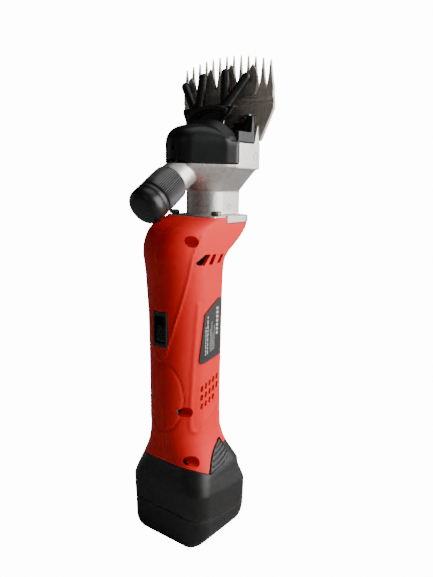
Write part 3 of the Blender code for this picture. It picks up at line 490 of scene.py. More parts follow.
def seam_heights():
    return [seam_z(y) for x, y in half_plan(60.0)]


def graded(heights, top, share):
    """Heights that run from a seam to a level, point for point."""
    return [h + (top - h) * share for h in heights]


def ring_on_skin(heights, inset=0.0, seam=0.0, setback=0.0):
    return [(*half_plan(z, inset, seam, setback)[i], z) for i, z in enumerate(heights)]


def from_line(s, z, line):
    """Distance of a place from a polyline, both on the unrolled skin."""
    best = 1e9
    for (a, b), (c, d) in zip(line, line[1:]):
        dx, dz = c - a, d - b
        t = min(max(((s - a) * dx + (z - b) * dz) / (dx * dx + dz * dz), 0.0), 1.0)
        best = min(best, math.hypot(s - a - dx * t, z - b - dz * t))
    return best


# The relief's lines, as (distance round the skin from the front seam, height).
SHIELD = ((-2.5, 139.9), (0.0, 139.4), (2.5, 139.9), (4.2, 142.3), (16.9, 182.0), (26.8, 213.0), (31.0, 227.0))
PANEL = ((28.6, 180.0), (27.4, 168.0), (24.4, 134.5), (22.9, 113.0), (22.0, 92.0), (22.7, 88.2), (24.8, 86.4),
         (28.0, 86.1), (30.3, 87.4), (31.8, 90.4), (38.8, 95.9), (45.6, 100.2), (51.0, 104.4))


def relief(s, z):
    """How far the handle's skin stands proud: the shield's rim, the side panel's rim and the oval groove."""
    out = 0.0
    if z > 136.0 and s < 34.0:
        out += 0.62 * math.exp(-(from_line(s, z, SHIELD) / 0.85) ** 2)
    if 82.0 < z < 184.0 and s > 18.0:
        out += 0.6 * math.exp(-(from_line(s, z, PANEL) / 1.5) ** 2)
    if 82.0 < z < 142.0 and s < 22.0:
        r = math.hypot(s / 17.2, (z - 111.8) / 25.8)
        away = abs(r - 1.0) * 19.0
        out -= 0.5 * math.exp(-(away / 0.75) ** 2)
        out += 0.25 * max(0.0, 1.0 - r) ** 0.5
    return out


def detailed_ring(heights, seam):
    """A ring on the handle's skin with its relief."""
    flat = ring_on_skin(heights, 0.0, seam)
    ring = []
    s = seam
    for i, (x, y, z) in enumerate(flat):
        before = flat[max(i - 1, 0)]
        after = flat[min(i + 1, len(flat) - 1)]
        if i:
            s += math.hypot(x - before[0], y - before[1])
        nx, ny = after[1] - before[1], before[0] - after[0]
        size = math.hypot(nx, ny)
        out = relief(s, z)
        if i == 0 or i == len(flat) - 1:
            nx = 0.0
        ring.append((x + nx / size * out, y + ny / size * out, z))
    return ring


def mirrored(ring, side):
    return [(side * x, y, z) for x, y, z in ring]


def leaf_outline(clearance):
    rows = LATCH_LEAF
    front = [(low - clearance, z) for z, low, high in rows]
    back = [(high + clearance, z) for z, low, high in rows]
    front[0] = (front[0][0], front[0][1] - clearance)
    back[0] = (back[0][0], back[0][1] - clearance)
    front[-1] = (front[-1][0], front[-1][1] + clearance)
    back[-1] = (back[-1][0], back[-1][1] + clearance)
    return front + list(reversed(back))


SCREWS = {                      # side of the head, y, z
    "shell_screw_top": (1, -26.2, 223.6),
    "shell_screw_middle": (1, -26.4, 101.8),
    "shell_screw_low": (1, -24.8, 65.4),
    "shell_screw_rear_upper": (-1, 8.2, 166.0),
    "shell_screw_rear_lower": (-1, 8.2, 100.0),
}
HEAD_DEPTH = 9.5
POST_RADIUS, WELL_RADIUS, BORE_RADIUS = 5.4, 4.0, 1.8
FLANGE_FRONT_Y = -5.4
FLANGE_Z = (234.3, 239.4)
VENT_LEAVES = (                 # the three slanting slots on each side, as (y, z)
    ((-24.0, 209.4), (-22.4, 207.3), (-16.4, 206.9), (-9.6, 214.0), (-15.6, 214.4), (-20.4, 211.8)),
    ((-11.9, 206.8), (-7.6, 206.5), (-3.2, 213.8), (-7.2, 213.8)),
    ((-2.6, 207.2), (0.9, 207.0), (4.8, 213.2), (1.9, 213.2)),
)


def slot_shade_sheets():
    """Near-black sheets inside the shell, behind its slots: painted shade for the dark inside seen through them.
    """
    near, far = WALL + 0.2, WALL + 0.6
    for side, name in ((1, "right"), (-1, "left")):
        bm = bmesh.new()
        for z_low, z_high, y_low, y_high in ((203.0, 216.5, -27.0, 8.0), (99.0, 123.0, -19.0, 6.0)):
            rows = []
            for inset, z in ((near, z_low), (near, z_high), (far, z_high), (far, z_low)):
                plan = half_plan(z, inset)
                rows.append([(side * x, y, z) for x, y in plan if y_low < y < y_high and x > 12.0])
            count = min(len(row) for row in rows)
            ring = [[bm.verts.new(row[k]) for row in rows] for k in range(count)]
            for a, b in zip(ring, ring[1:]):
                for k in range(4):
                    bm.faces.new((a[k], a[(k + 1) % 4], b[(k + 1) % 4], b[k]))
            bm.faces.new(ring[0])
            bm.faces.new(ring[-1])
        put(f"dust_screen_{name}", bm, SLOT_SHADE, "handle", ())


def shells():
    """The two red shells: skin with its relief, hollow, screw posts and wells, slots and openings."""
    heights = seam_heights()
    skirt = (0.0, 0.04, 0.12, 0.25, 0.4, 0.55, 0.7, 0.85)
    levels = [SKIRT_TOP_Z + 1.05 * k for k in range(151)] + [233.2, 234.6, 236.0, 237.2, 238.6]
    inner_levels = [SKIRT_TOP_Z, 80.0, 86.0, 110.0, 150.0, 180.0, 196.0, 207.0, 213.0, 219.0, 225.0, 230.0]
    inner_levels += [234.0, 238.6]
    for side, name in ((1, "right"), (-1, "left")):
        rows = [detailed_ring(graded(heights, SKIRT_TOP_Z, t), SEAM_GAP) for t in skirt]
        rows += [detailed_ring([z] * len(heights), SEAM_GAP) for z in levels]
        shell = solid(skin([mirrored(r, side) for r in rows]))
        inner = [ring_on_skin([h - 20.0 for h in heights], WALL, -1.0), ring_on_skin(heights, WALL, -1.0)]
        inner += [ring_on_skin([z] * len(heights), WALL, -1.0) for z in inner_levels]
        inner.append([(x, y, 250.0) for x, y, z in inner[-1]])
        hollow = solid(skin([mirrored(r, side) for r in inner]))
        posts, holes = [], []
        for head_side, y, z in SCREWS.values():
            posts.append(along(rod(POST_RADIUS, 40.0), (side * 0.7, y, z), (side, 0, 0)))
            bore, well = BORE_RADIUS, WELL_RADIUS
            hole = ((0, -1.0), (bore, -1.0), (bore, 10.5), (0, 10.5))
            if side == head_side:
                hole = ((0, -1.0), (bore, -1.0), (bore, HEAD_DEPTH), (well, HEAD_DEPTH), (well, 40.0), (0, 40.0))
            holes.append(along(turned(hole, steps=40), (0, y, z), (side, 0, 0)))
        hollow = combined(hollow, posts, 'DIFFERENCE')
        holes.append(hollow)
        seat = [(-60.0, 9.1), (-22.5, 9.1), (-22.5, -2.8), (-19.6, -5.7), (19.6, -5.7), (22.5, -2.8), (22.5, 9.1),
                (60.0, 9.1), (60.0, 80.0), (-60.0, 80.0)]
        holes.append(prism_z(seat, FLANGE_Z[0] - GAP, 260.0))
        opening = rounded([(-6.6, 148.6), (6.6, 148.6), (6.6, 174.4), (-6.6, 174.4)], 1.2)
        holes.append(prism_y(opening, -50.0, -20.0))
        holes.append(prism_x(leaf_outline(0.9), side * 18.0, side * 45.0))
        for row in range(3):
            for column in range(5 - row // 2):
                y = -15.6 + 4.1 * column
                z = 117.8 - 6.6 * row + 1.4 * column
                slot = [(y - 1.5, z - 2.2), (y + 0.7, z - 2.2), (y + 1.5, z + 2.2), (y - 0.7, z + 2.2)]
                holes.append(prism_x(rounded(slot, 0.6, 3), side * 15.0, side * 30.0))
        for leaf in VENT_LEAVES:
            holes.append(prism_x(rounded(leaf, 0.9, 4), side * 16.4, side * 32.0))
        mesh = in_metres(applied(combined(shell, holes, 'DIFFERENCE')))
        place(f"handle_skin_{name}", mesh, RED, "handle", [f"handle_shell_{name}"], 32.0)


def screws():
    """Pan-head screws at the bottom of their wells, each with a six-sided socket."""
    for name, (side, y, z) in SCREWS.items():
        shank = turned(((0, 0.3), (1.5, 0.3), (1.5, HEAD_DEPTH), (3.1, HEAD_DEPTH), (3.2, HEAD_DEPTH + 0.6),
                        (2.6, HEAD_DEPTH + 1.3), (1.5, HEAD_DEPTH + 1.5), (0, HEAD_DEPTH + 1.5)), steps=36)
        socket = skin([[(1.4 * math.cos(math.radians(60 * k)), 1.4 * math.sin(math.radians(60 * k)), level)
                        for k in range(6)] for level in (HEAD_DEPTH + 0.5, HEAD_DEPTH + 4.0)])
        body = solid(along(shank, (0, y, z), (side, 0, 0)))
        socket = along(socket, (0, y, z), (side, 0, 0))
        mesh = in_metres(applied(combined(body, [socket], 'DIFFERENCE')))
        place(f"{name}_turned", mesh, DARK, "handle", [name])


def seam_tongues():
    """The lip inside the shells that closes their seam, in front above and below the switch, and behind."""
    for name, end, inward, low, high in (("front_low", 0, 1, 78, 148), ("front_high", 0, 1, 175, 230),
                                         ("back", -1, -1, 78, 230)):
        rings = []
        for z in range(low, high + 1, 2):
            y = half_plan(z)[end][1]
            near, far = y + inward * 0.9, y + inward * (WALL - 0.3)
            rings.append([(-0.6, near, z), (0.6, near, z), (0.6, far, z), (-0.6, far, z)])
        put(f"seam_tongue_{name}", skin(rings), RED, "handle", ())


def crease(y, z):
    """The height to read the profile at: the battery's shoulder starts lower at the back than in front."""
    weight = min(max((z - 22.0) / 12.0, 0.0), 1.0) * min(max((57.0 - z) / 12.0, 0.0), 1.0)
    return z + (2.2 + 0.1 * max(y, -30.0)) * weight


def case_ring(z, inset=0.0):
    """Full outline of the battery case at a height."""
    ring = []
    for i, (x, y) in enumerate(half_plan(z, inset)):
        ring.append((*half_plan(crease(y, z), inset, creased=True)[i], z))
    return whole(ring)


def whole(half):
    """The right half of a ring with its mirror image."""
    return half + [(-x, y, z) for x, y, z in reversed(half[1:-1])]


def tilt(ring):
    """Lean a level ring, so that the joint between the two case halves drops towards the back."""
    return [(x, y, z - SPLIT_LEAN * y) for x, y, z in ring]


def battery():
    """The two halves of the battery case, with a groove where they meet and the plug on top."""
    rows = [case_ring(z) for z in (0.0, 0.9, 2.0, 3.4, 5.0, 7.0, 9.0, 11.5, 14.0)]
    for z, inset in ((-1.2, 0.0), (-0.5, 0.12), (-0.3, 0.55), (-0.3, CASE_WALL)):
        rows.append(tilt(case_ring(SPLIT_Z + z, inset)))
    rows += [case_ring(z, CASE_WALL) for z in (11.5, 7.0, 2.6)]
    put("battery_base", skin(rows), BLACK, "battery", ["battery_case_lower"])

    heights = [h - 0.5 for h in seam_heights()]
    plug = WALL + 1.4
    inside = plug + CASE_WALL

    def plug_ring(z, inset, setback=PLUG_SETBACK, plan_z=None):
        return whole([(x, y, z) for x, y in half_plan(plan_z or z, inset, setback=setback)])

    rows = [plug_ring(77.6, inside, plan_z=80.0), plug_ring(72.0, inside), plug_ring(55.0, inside)]
    rows.append(plug_ring(51.0, inside, 0.0))
    rows += [case_ring(z, CASE_WALL) for z in (47.0, 41.0)]
    for z, inset in ((0.0, CASE_WALL), (0.0, 0.55), (0.2, 0.12), (0.9, 0.0)):
        rows.append(tilt(case_ring(SPLIT_Z + z, inset)))
    rows += [case_ring(26.0 + 1.5 * k) for k in range(17)]
    for t in (0.12, 0.3, 0.5, 0.7, 0.85, 0.95, 1.0):
        rows.append(whole(ring_on_skin([51.0 + (h - 51.0) * t for h in heights])))
    rows.append(whole(ring_on_skin(heights, 0.5)))
    rows.append(whole(ring_on_skin(heights, WALL + 0.7)))
    rows.append(whole(ring_on_skin(heights, plug, setback=PLUG_SETBACK)))
    rows += [plug_ring(74.0, plug), plug_ring(79.2, plug), plug_ring(80.0, plug + 0.8)]
    case = solid(skin(rows))
    pockets = [prism_x(leaf_outline(0.45), s * 17.0, s * 45.0) for s in (1, -1)]
    mesh = in_metres(applied(combined(case, pockets, 'DIFFERENCE')))
    place("battery_shoulder", mesh, BLACK, "battery", ["battery_case_upper"], 34.0)


def latches():
    """Leaf-shaped buttons, crowned, with curved finger grooves."""
    bottom, top = LATCH_LEAF[0][0], LATCH_LEAF[-1][0]
    rows, columns = 56, 40
    for s, name in ((1, "right"), (-1, "left")):
        bm = bmesh.new()
        outer, inner = [], []
        for i in range(rows + 1):
            z = bottom + (top - bottom) * i / rows
            low, high = eased(LATCH_LEAF, z)
            side_x = eased(BODY, z)[0]
            line_out, line_in = [], []
            for j in range(columns + 1):
                u = j / columns
                y = low + (high - low) * u
                rim = min(u, 1 - u) * (high - low)
                end = min(z - bottom, top - z)
                crown = 1.0 - math.exp(-(min(rim, end * 1.3) / 0.55))
                turn = (z + 0.08 * (y + 16) - 0.012 * (y + 16) ** 2 - 55.4) / GROOVE_PITCH
                near = abs(turn - round(turn)) * GROOVE_PITCH
                within = min(max((min(rim, end) - 1.3) / 0.5, 0.0), 1.0)
                out = 1.45 * crown - 0.5 - GROOVE_DEPTH * math.exp(-(near / 0.5) ** 2) * within
                line_out.append(bm.verts.new((s * (side_x + out), y, z)))
                line_in.append(bm.verts.new((s * (side_x - LATCH_THICKNESS), y, z)))
            outer.append(line_out)
            inner.append(line_in)
        for i in range(rows):
            for j in range(columns):
                for side in (outer, inner):
                    bm.faces.new((side[i][j], side[i][j + 1], side[i + 1][j + 1], side[i + 1][j]))
            for j in (0, -1):
                bm.faces.new((outer[i][j], outer[i + 1][j], inner[i + 1][j], inner[i][j]))
        for j in range(columns):
            for i in (0, -1):
                bm.faces.new((outer[i][j], inner[i][j], inner[i][j + 1], outer[i][j + 1]))
        put(f"latch_leaf_{name}", bm, BLACK, f"latch_{name}", [f"latch_{name}"], 50.0)


def skin_x(y, z):
    """How far out the handle's side is at a place."""
    half, front, back, front_r, back_r = eased(BODY, z)
    ahead = max(front + front_r - y, 0.0)
    behind = max(y - back + back_r, 0.0)
    x = half - front_r + math.sqrt(front_r ** 2 - ahead ** 2)
    return x - back_r + math.sqrt(back_r ** 2 - behind ** 2)


LABEL_LINES = (                 # y, low, high, width
    (-13.7, 142.5, 163.0, 0.7), (-11.7, 143.2, 170.5, 0.8), (-8.6, 144.2, 161.0, 0.35),
    (-7.2, 144.6, 166.0, 0.35), (-5.8, 145.2, 158.0, 0.35), (-4.4, 145.6, 163.0, 0.35),
)


def label_marks():
    """Plain bars on the labels, where the real one has printing."""
    bars = []
    for row, (y, low, high, width) in enumerate(LABEL_LINES):
        z = low
        step = 0
        while z < high:
            length = width * (2.2 + 1.7 * math.sin(2.3 * step + row) ** 2)
            bars.append((y, z, min(z + length, high), width))
            z += length + width * 0.9
            step += 1
    bars += [(-1.2, 156.0 + 3.0 * k, 157.9 + 3.0 * k, 2.2) for k in range(7)]
    for s, name in ((1, "right"), (-1, "left")):
        marks = []
        for y, low, high, width in bars:
            near, far = y - width / 2, y + width / 2
            corners = ((near, low), (far, low), (far, high), (near, high))
            marks.append(skin([[(s * (skin_x(a, b) + out), a, b) for a, b in corners] for out in (0.7, 0.82)]))
        put(f"label_marks_{name}", joined(marks), PRINT, "handle", ())


def switch_slider():
    """The thumb button: a ridged block that slides in its housing."""
    (x0, y0, z0), (x1, y1, z1) = (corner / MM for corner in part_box("switch_button"))
    profile = [(y1, z0), (y0 + 1.0, z0), (y0 + 0.2, z0 + 0.8)]
    ridges = 6
    pitch = (z1 - z0 - 2.4) / ridges
    for k in range(ridges):
        z = z0 + 1.2 + pitch * k
        profile += [(y0, z + 0.1), (y0, z + pitch * 0.5)]
        profile += [(y0 + 0.7, z + pitch * 0.62), (y0 + 0.7, z + pitch * 0.92)]
    profile += [(y0 + 0.2, z1 - 0.8), (y0 + 1.0, z1), (y1, z1)]
    thumb = prism_x(profile, x0, x1)
    round_edges(put("switch_thumb", thumb, RUBBER, "switch", ["switch_button"]), 0.15)


def round_edges(obj, width):
    """Small bevels on a piece's sharp edges."""
    bevel = obj.modifiers.new("edges", 'BEVEL')
    bevel.width = width * MM
    bevel.segments = 2
    bevel.limit_method = 'ANGLE'
    bevel.angle_limit = math.radians(35.0)


# ---- head

CRANK_Y = 16.0
NECK_RADIUS = 15.0
NECK_TOP_Z = 256.6
BELL_TOP_Z = 273.0
COVER_Z = 275.4
SIDE_TOP_Z = 290.0
BACK_TOP_Z = 303.0
HEAD_HALF = 31.0
HEAD_BACK_Y = 38.0
NOSE_RADIUS = 16.2
NOSE_Y = -5.0
PIVOT_Z = 290.0
BEARING_RADIUS = 9.5
KNOB_AT = Vector((0.0, -23.1, 262.8))
KNOB_TILT = math.radians(33.7)
KNOB_IN = Vector((0.0, math.cos(KNOB_TILT), math.sin(KNOB_TILT)))
KNOB_RADIUS = 12.9
GRIP_LENGTH = 20.2
CAP_LENGTH = 14.4
BOSS_RADIUS = 11.3
COMB_SEAT_Y = 36.7


def spread(outline, step):
    """The same outline with extra points along its straight runs."""
    points = []
    for (x0, y0), (x1, y1) in zip(outline, outline[1:]):
        count = max(int(math.hypot(x1 - x0, y1 - y0) / step), 1)
        points += [(x0 + (x1 - x0) * k / count, y0 + (y1 - y0) * k / count) for k in range(count)]
    points.append(outline[-1])
    return points


def head_outline(inset):
    """Plan of the head from its back round the left side, the nose and the right side."""
    half = HEAD_HALF - inset
    corner = 27.0 - inset
    nose = NOSE_RADIUS - inset
    back = HEAD_BACK_Y - inset
    right = arc(0.0, NOSE_Y, nose, -90, -45, 14)
    right += [(corner, 3.0 + 0.4 * inset), (half, 9.6 + 0.4 * inset), (half, 24.0), (half, back - 3.0),
              (half - 3.0, back), (0.0, back)]
    right = spread(right, 2.0)
    return [(-x, y) for x, y in reversed(right[1:-1])] + right


def bell_ring(z, inset=0.0):
    """Between the neck, round in front and flat at the sides, and the plan of the head, point for point."""
    blend = min(max((z - NECK_TOP_Z) / (BELL_TOP_Z - NECK_TOP_Z), 0.0), 1.0)
    size = NECK_RADIUS - inset
    ring = []
    for x, y in head_outline(inset):
        a = math.atan2(y - CRANK_Y, x)
        cx = size * math.cos(a) if y < CRANK_Y else x * size / (HEAD_HALF - inset)
        cy = CRANK_Y + size * math.sin(a) if y < CRANK_Y else y
        swell = 2.6 * math.sin(math.pi * blend) * max(-math.sin(a), 0.0) if inset == 0.0 else 0.0
        cx += (x - cx) * blend + swell * math.cos(a)
        cy += (y - cy) * blend + swell * math.sin(a)
        ring.append((cx, cy, z))
    return ring


def knob_point(distance):
    return KNOB_AT + KNOB_IN * distance


def casting():
    """The cast head: flange, neck, bell, side walls, back wall, knob boss and comb lugs, all one body."""
    heights = [FLANGE_Z[1] - 1.0, 246.0, 252.0]
    heights += [NECK_TOP_Z + (BELL_TOP_Z - NECK_TOP_Z) * k / 12 for k in range(13)]
    body = solid(skin([bell_ring(z) for z in heights + [COVER_Z - GAP]]))
    half = 24.2
    right = [(19.4, FLANGE_FRONT_Y), (22.2, FLANGE_FRONT_Y + 2.8), (22.2, 9.4), (half, 9.4)]
    right += arc(half - 9.0, 40.6 - 9.0, 9.0, 0, 90, 14)
    flange = right + [(-x, y) for x, y in reversed(right)]
    wall = [(31.0, 272.6), (37.8, 272.6), (37.8, BACK_TOP_Z), (34.2, BACK_TOP_Z), (31.0, 291.0)]
    added = [prism_z(flange, *FLANGE_Z),
             box((-HEAD_HALF, 12.2, 272.0), (HEAD_HALF, HEAD_BACK_Y, SIDE_TOP_Z)),
             prism_x(wall, -HEAD_HALF, HEAD_HALF),
             along(rod(BOSS_RADIUS, 34.0, 64), knob_point(0.0), KNOB_IN)]
    for s in (1, -1):
        added.append(box((s * 15, 31.4, 298.0), (s * 25.6, 37.6, 311.0)))
    body = combined(body, added, 'UNION')
    inside = []
    for level in (259.4, 266.2, BELL_TOP_Z):
        inside.append([(x, min(y, 31.4), z) for x, y, z in bell_ring(level, 3.0)])
    inside.append([(min(max(x, -27.6), 27.6), y, 320.0) for x, y, z in inside[-1]])
    bore = ((0, 230.0), (BEARING_RADIUS, 230.0), (BEARING_RADIUS, 256.5), (0, 256.5))
    taken = [skin(inside),
             box((-60, COMB_SEAT_Y, 291.0), (60, 60, 330.0)),
             turned(((0, 255.9), (9.3, 255.9), (9.3, 262.0), (0, 262.0)), (0, CRANK_Y)),
             turned(bore, (0, CRANK_Y)),
             along(rod(7.35, 50.0), knob_point(-9.0), KNOB_IN),
             box((-60.0, -40.0, COVER_Z - GAP), (60.0, 12.0, 330.0)),
             along(rod(3.3, 20.0), (0, 30.0, PIVOT_Z), (0, 1, 0))]
    for s in (1, -1):
        taken.append(along(rod(2.9, 20.0), (s * 22.0, 26.0, 306.5), (0, 1, 0)))
        for y in (2.2, 33.0):
            hole = ((0, 230), (2.3, 230), (2.3, 245), (0, 245))
            if y > CRANK_Y:
                hole = ((0, 230), (2.3, 230), (2.3, 237.2), (4.0, 238.9), (4.0, 245), (0, 245))
            taken.append(turned(hole, (s * 19.4, y), 32))
    body = combined(body, taken, 'DIFFERENCE')
    mesh = in_metres(softened(body, 0.55, 5))
    place("head_body", mesh, CAST, "handle", ["head_casting"], 60.0)
    rings = []
    for x, y, z, r in ((HEAD_HALF, 32.4, 281.0, 2.6), (NECK_RADIUS, 23.4, 245.4, 1.9)):
        for s in (1, -1):
            ring = turned(((r - 0.35, -0.1), (r + 0.35, -0.1), (r + 0.2, 0.12), (r - 0.2, 0.12)), steps=40)
            rings.append(along(ring, (s * x, y, z), (s, 0, 0)))
    put("casting_marks", joined(rings), DARK, "handle", ())


def hood_front(x, inset):
    """Front of the head's plan at a distance x from the middle."""
    outline = [p for p in head_outline(inset) if p[1] < 12.5]
    for (x0, y0), (x1, y1) in zip(outline, outline[1:]):
        if x0 <= x <= x1 and x1 > x0:
            return y0 + (y1 - y0) * (x - x0) / (x1 - x0)
    return outline[-1][1]


def hood(inset, below):
    """The cover's outer shape: the head's plan closed by a dome that rises to the back."""
    back = 12.0 + below
    columns = []
    count = 64
    reach = HEAD_HALF - inset
    for k in range(count + 1):
        x = reach * math.sin(math.pi * (k / count - 0.5))
        front = hood_front(x, inset)
        shoulder = 290.0 - inset + 3.4 * (1.0 - (x / reach) ** 2)
        crown = 292.4 - inset + 14.8 * (1.0 - abs(x / reach) ** 2.4)
        brim = max(crown - 4.6, shoulder + 0.4)
        brim_y = min(max(4.2, front + 2.4), 11.4)
        column = [(x, front, COVER_Z - below)]
        for step in range(15):
            t = step / 14 * math.pi / 2
            y = brim_y - (brim_y - front) * math.cos(t) ** 0.9
            column.append((x, y, shoulder - 5.0 + (brim - shoulder + 5.0) * math.sin(t) ** 0.9))
        for t, drop in ((0.4, 2.4), (0.75, 0.6), (1.0, 0.0)):
            column.append((x, brim_y + (12.0 - brim_y) * t, crown - drop))
        if below:
            column.append((x, back, crown))
        column.append((x, back, COVER_Z - below))
        columns.append(column)
    return skin(columns)


def cover():
    """The black cover with its side bands and the lugs beside the fork."""
    body = solid(hood(0.0, 0.0))
    lug = [(26.4, 296.0), (30.8, 296.0), (30.8, 309.3), (27.4, 309.3)]
    web = [(25.0, 297.0), (30.8, 297.0), (30.8, 304.6), (27.0, 304.6)]
    added = []
    for s in (1, -1):
        added += [box((s * 25.0, 11.0, SIDE_TOP_Z + GAP), (s * HEAD_HALF, 30.6, 297.6)),
                  prism_x(lug, s * 25.4, s * 30.9), prism_x(web, s * 14.6, s * 26.0)]
    body = combined(body, added, 'UNION')
    taken = [hood(2.2, 8.0),
             box((-28.4, 11.0, 280.0), (28.4, 24.6, 312.0)),
             box((-28.4, 20.0, 280.0), (28.4, 40.0, 297.0)),
             box((-14.0, 20.0, 290.0), (14.0, 40.0, 312.0))]
    body = new_object("tool", softened(combined(body, taken, 'DIFFERENCE'), 0.5, 6))
    holes = [along(rod(BOSS_RADIUS + 0.5, 50.0, 96), knob_point(-5.0), KNOB_IN),
             along(rod(1.6, 10.0), (0.0, -30.0, 285.0), (0, 1, 0))]
    mesh = in_metres(applied(combined(body, holes, 'DIFFERENCE')))
    place("cover_skin", mesh, COVER, "handle", ["head_cover"], 60.0)


def knob():
    """The tension knob: a finely ribbed grip and a smooth domed cap."""
    r = KNOB_RADIUS
    outward = -KNOB_IN
    ribs = 60
    steps = ribs * 6
    levels = ((0.4, 7.4, 0.0), (0.4, r - 1.1, 0.0), (0.9, r - 0.6, 0.2), (1.7, r - 0.1, 1.0), (7.0, r, 1.0),
              (14.0, r, 1.0), (GRIP_LENGTH - 1.3, r - 0.1, 1.0), (GRIP_LENGTH - 0.6, r - 0.6, 0.2),
              (GRIP_LENGTH, r - 1.1, 0.0), (GRIP_LENGTH, 7.4, 0.0))
    bm = bmesh.new()
    rows = []
    for height, radius, depth in levels:
        row = []
        for k in range(steps):
            a = 2 * math.pi * k / steps
            wave = 0.5 - 0.5 * math.cos(a * ribs)
            cut = 0.5 * depth * wave ** 2
            row.append(bm.verts.new(((radius - cut) * math.cos(a), (radius - cut) * math.sin(a), height)))
        rows.append(row)
    for low, high in zip(rows, rows[1:] + rows[:1]):
        for k in range(steps):
            n = (k + 1) % steps
            bm.faces.new((low[k], low[n], high[n], high[k]))
    put("knob_grip", along(bm, knob_point(0.0), outward), RUBBER, "tension_knob", ["tension_knob_grip"],
        60.0)
    low = GRIP_LENGTH + GAP
    round_from = low + CAP_LENGTH - 6.6
    dome = [(0, low + 2.2), (7.4, low + 2.2), (7.4, low), (r - 1.5, low), (r - 1.3, low + 0.5),
            (r - 0.35, low + 0.7), (r, low + 1.2), (r, low + 4.2), (r - 0.18, low + 4.45), (r, low + 4.7),
            (r, round_from)]
    for k in range(1, 14):
        a = math.radians(90 * k / 14)
        dome.append((r - 5.0 + 5.0 * math.cos(a), round_from + 5.9 * math.sin(a)))
    dome += [(r - 5.0, round_from + 5.95), (r - 7.0, round_from + 6.3), (0, low + CAP_LENGTH)]
    put("knob_dome", along(turned(dome, steps=96), knob_point(0.0), outward), RUBBER, "tension_knob",
        ["tension_knob_cap"])


def copy_in_mm(name):
    """A working copy of a CAD node's shape."""
    mesh = NODES[name].data.copy()
    mesh.transform(Matrix.Scale(1 / MM, 4))
    return new_object("tool", mesh)


SWING = math.asin(2.0 / 25.0)
CUTTER_Y = (33.9, 36.7)
COMB_Y = (37.0, 40.2)
TEETH = 13
PITCH = 6.35
TIP_Z = 353.5
TIP_SAG = 6.2
ROOT_Z = 329.0


def swung(x, z):
    """A point of the cutter as the fork has stopped, turned about the pivot."""
    dz = z - PIVOT_Z
    c, s = math.cos(SWING), math.sin(SWING)
    return x * c - dz * s, PIVOT_Z + x * s + dz * c


FORK_ARMS = (                   # root and tip of each arm
    ((-14.6, 20.6, 312.6), (-34.0, 31.2, 333.8)), ((-12.0, 20.6, 312.6), (-16.6, 31.2, 338.8)),
    ((11.6, 20.6, 312.6), (3.6, 31.2, 340.2)), ((9.6, 20.6, 312.8), (22.3, 31.2, 336.2)),
)


def arm(start, end, wide, narrow):
    """A tapering round arm with a rounded tip."""
    run = Vector(end) - Vector(start)
    profile = [(0.0, -wide)] + arc(0.0, 0.0, wide, -60, 0, 2) + arc(0.0, run.length, narrow, 0, 60, 2)
    profile.append((0.0, run.length + narrow))
    return along(turned(profile, steps=32), start, run.normalized())


def fork():
    """The forging: the yoke as in the CAD, with a rim, a cup plate, four round arms and their pegs."""
    rim = arc(0.0, 279.8, 37.0, 60, 120, 20) + arc(0.0, 279.8, 33.8, 120, 60, 20)
    cup = [(-15.0, 311.5), (-11.0, 301.0), (11.0, 301.0), (15.0, 311.5), (8.0, 314.5), (-8.0, 314.5)]
    added = [prism_y([swung(x, z) for x, z in rim], 15.8, 22.4),
             prism_y([swung(x, z) for x, z in cup], 19.4, 22.6)]
    body = combined(copy_in_mm("fork"), [box((-60, 0, 315.5), (60, 60, 360))], 'DIFFERENCE')
    for start, end in FORK_ARMS:
        added.append(arm(start, end, 3.6, 3.3))
        added.append(along(rod(1.5, 3.4, 20), end, (0, 1, 0)))
    body = combined(body, added, 'UNION')
    mesh = in_metres(softened(body, 0.42, 6))
    place("fork_forging", mesh, FORGED, "fork", ["fork"], 60.0)
    clip = along(rod(0.5, 7.6, 16), (12.6, 17.4, 302.4), (0.13, 0.0, 1.0))
    put("fork_clip", clip, STEEL, "fork", ())


def cutter():
    """The cutter: four leaf-shaped teeth on a bar, thinner towards their tips."""
    points = []
    for x, tip in ((-28.2, 343.4), (-9.4, 346.4), (9.4, 346.4), (28.2, 343.4)):
        side = [(4.5, 330.6), (4.2, 333.4), (3.7, 336.0), (3.1, 338.8), (2.3, tip - 3.6), (1.2, tip - 1.5)]
        points += [(x - w, z) for w, z in side] + [(x, tip)] + [(x + w, z) for w, z in reversed(side)]
        if x < 28:
            points += [(x + 6.2, 328.6), (x + 9.4, 327.8), (x + 12.6, 328.6)]
    points += [(31.4, 324.0), (30.0, 322.0), (27.0, 321.0), (12.0, 320.0), (-12.0, 320.0), (-27.0, 321.0),
               (-30.0, 322.0), (-31.4, 324.0)]
    points = [swung(x, z) for x, z in points]
    bm = prism_y(points, *CUTTER_Y)
    cut_across(bm, 2, (326.0, 330.0, 334.0, 338.0, 341.0, 344.0))
    for v in bm.verts:
        if v.co.y < 35.0:
            t = min(max((v.co.z - 329.0) / 16.0, 0.0), 1.0)
            v.co.y += 1.5 * t
    piece = put("cutter_plate", bm, BLADE, "fork", ["cutter"], 25.0)
    round_edges(piece, 0.18)


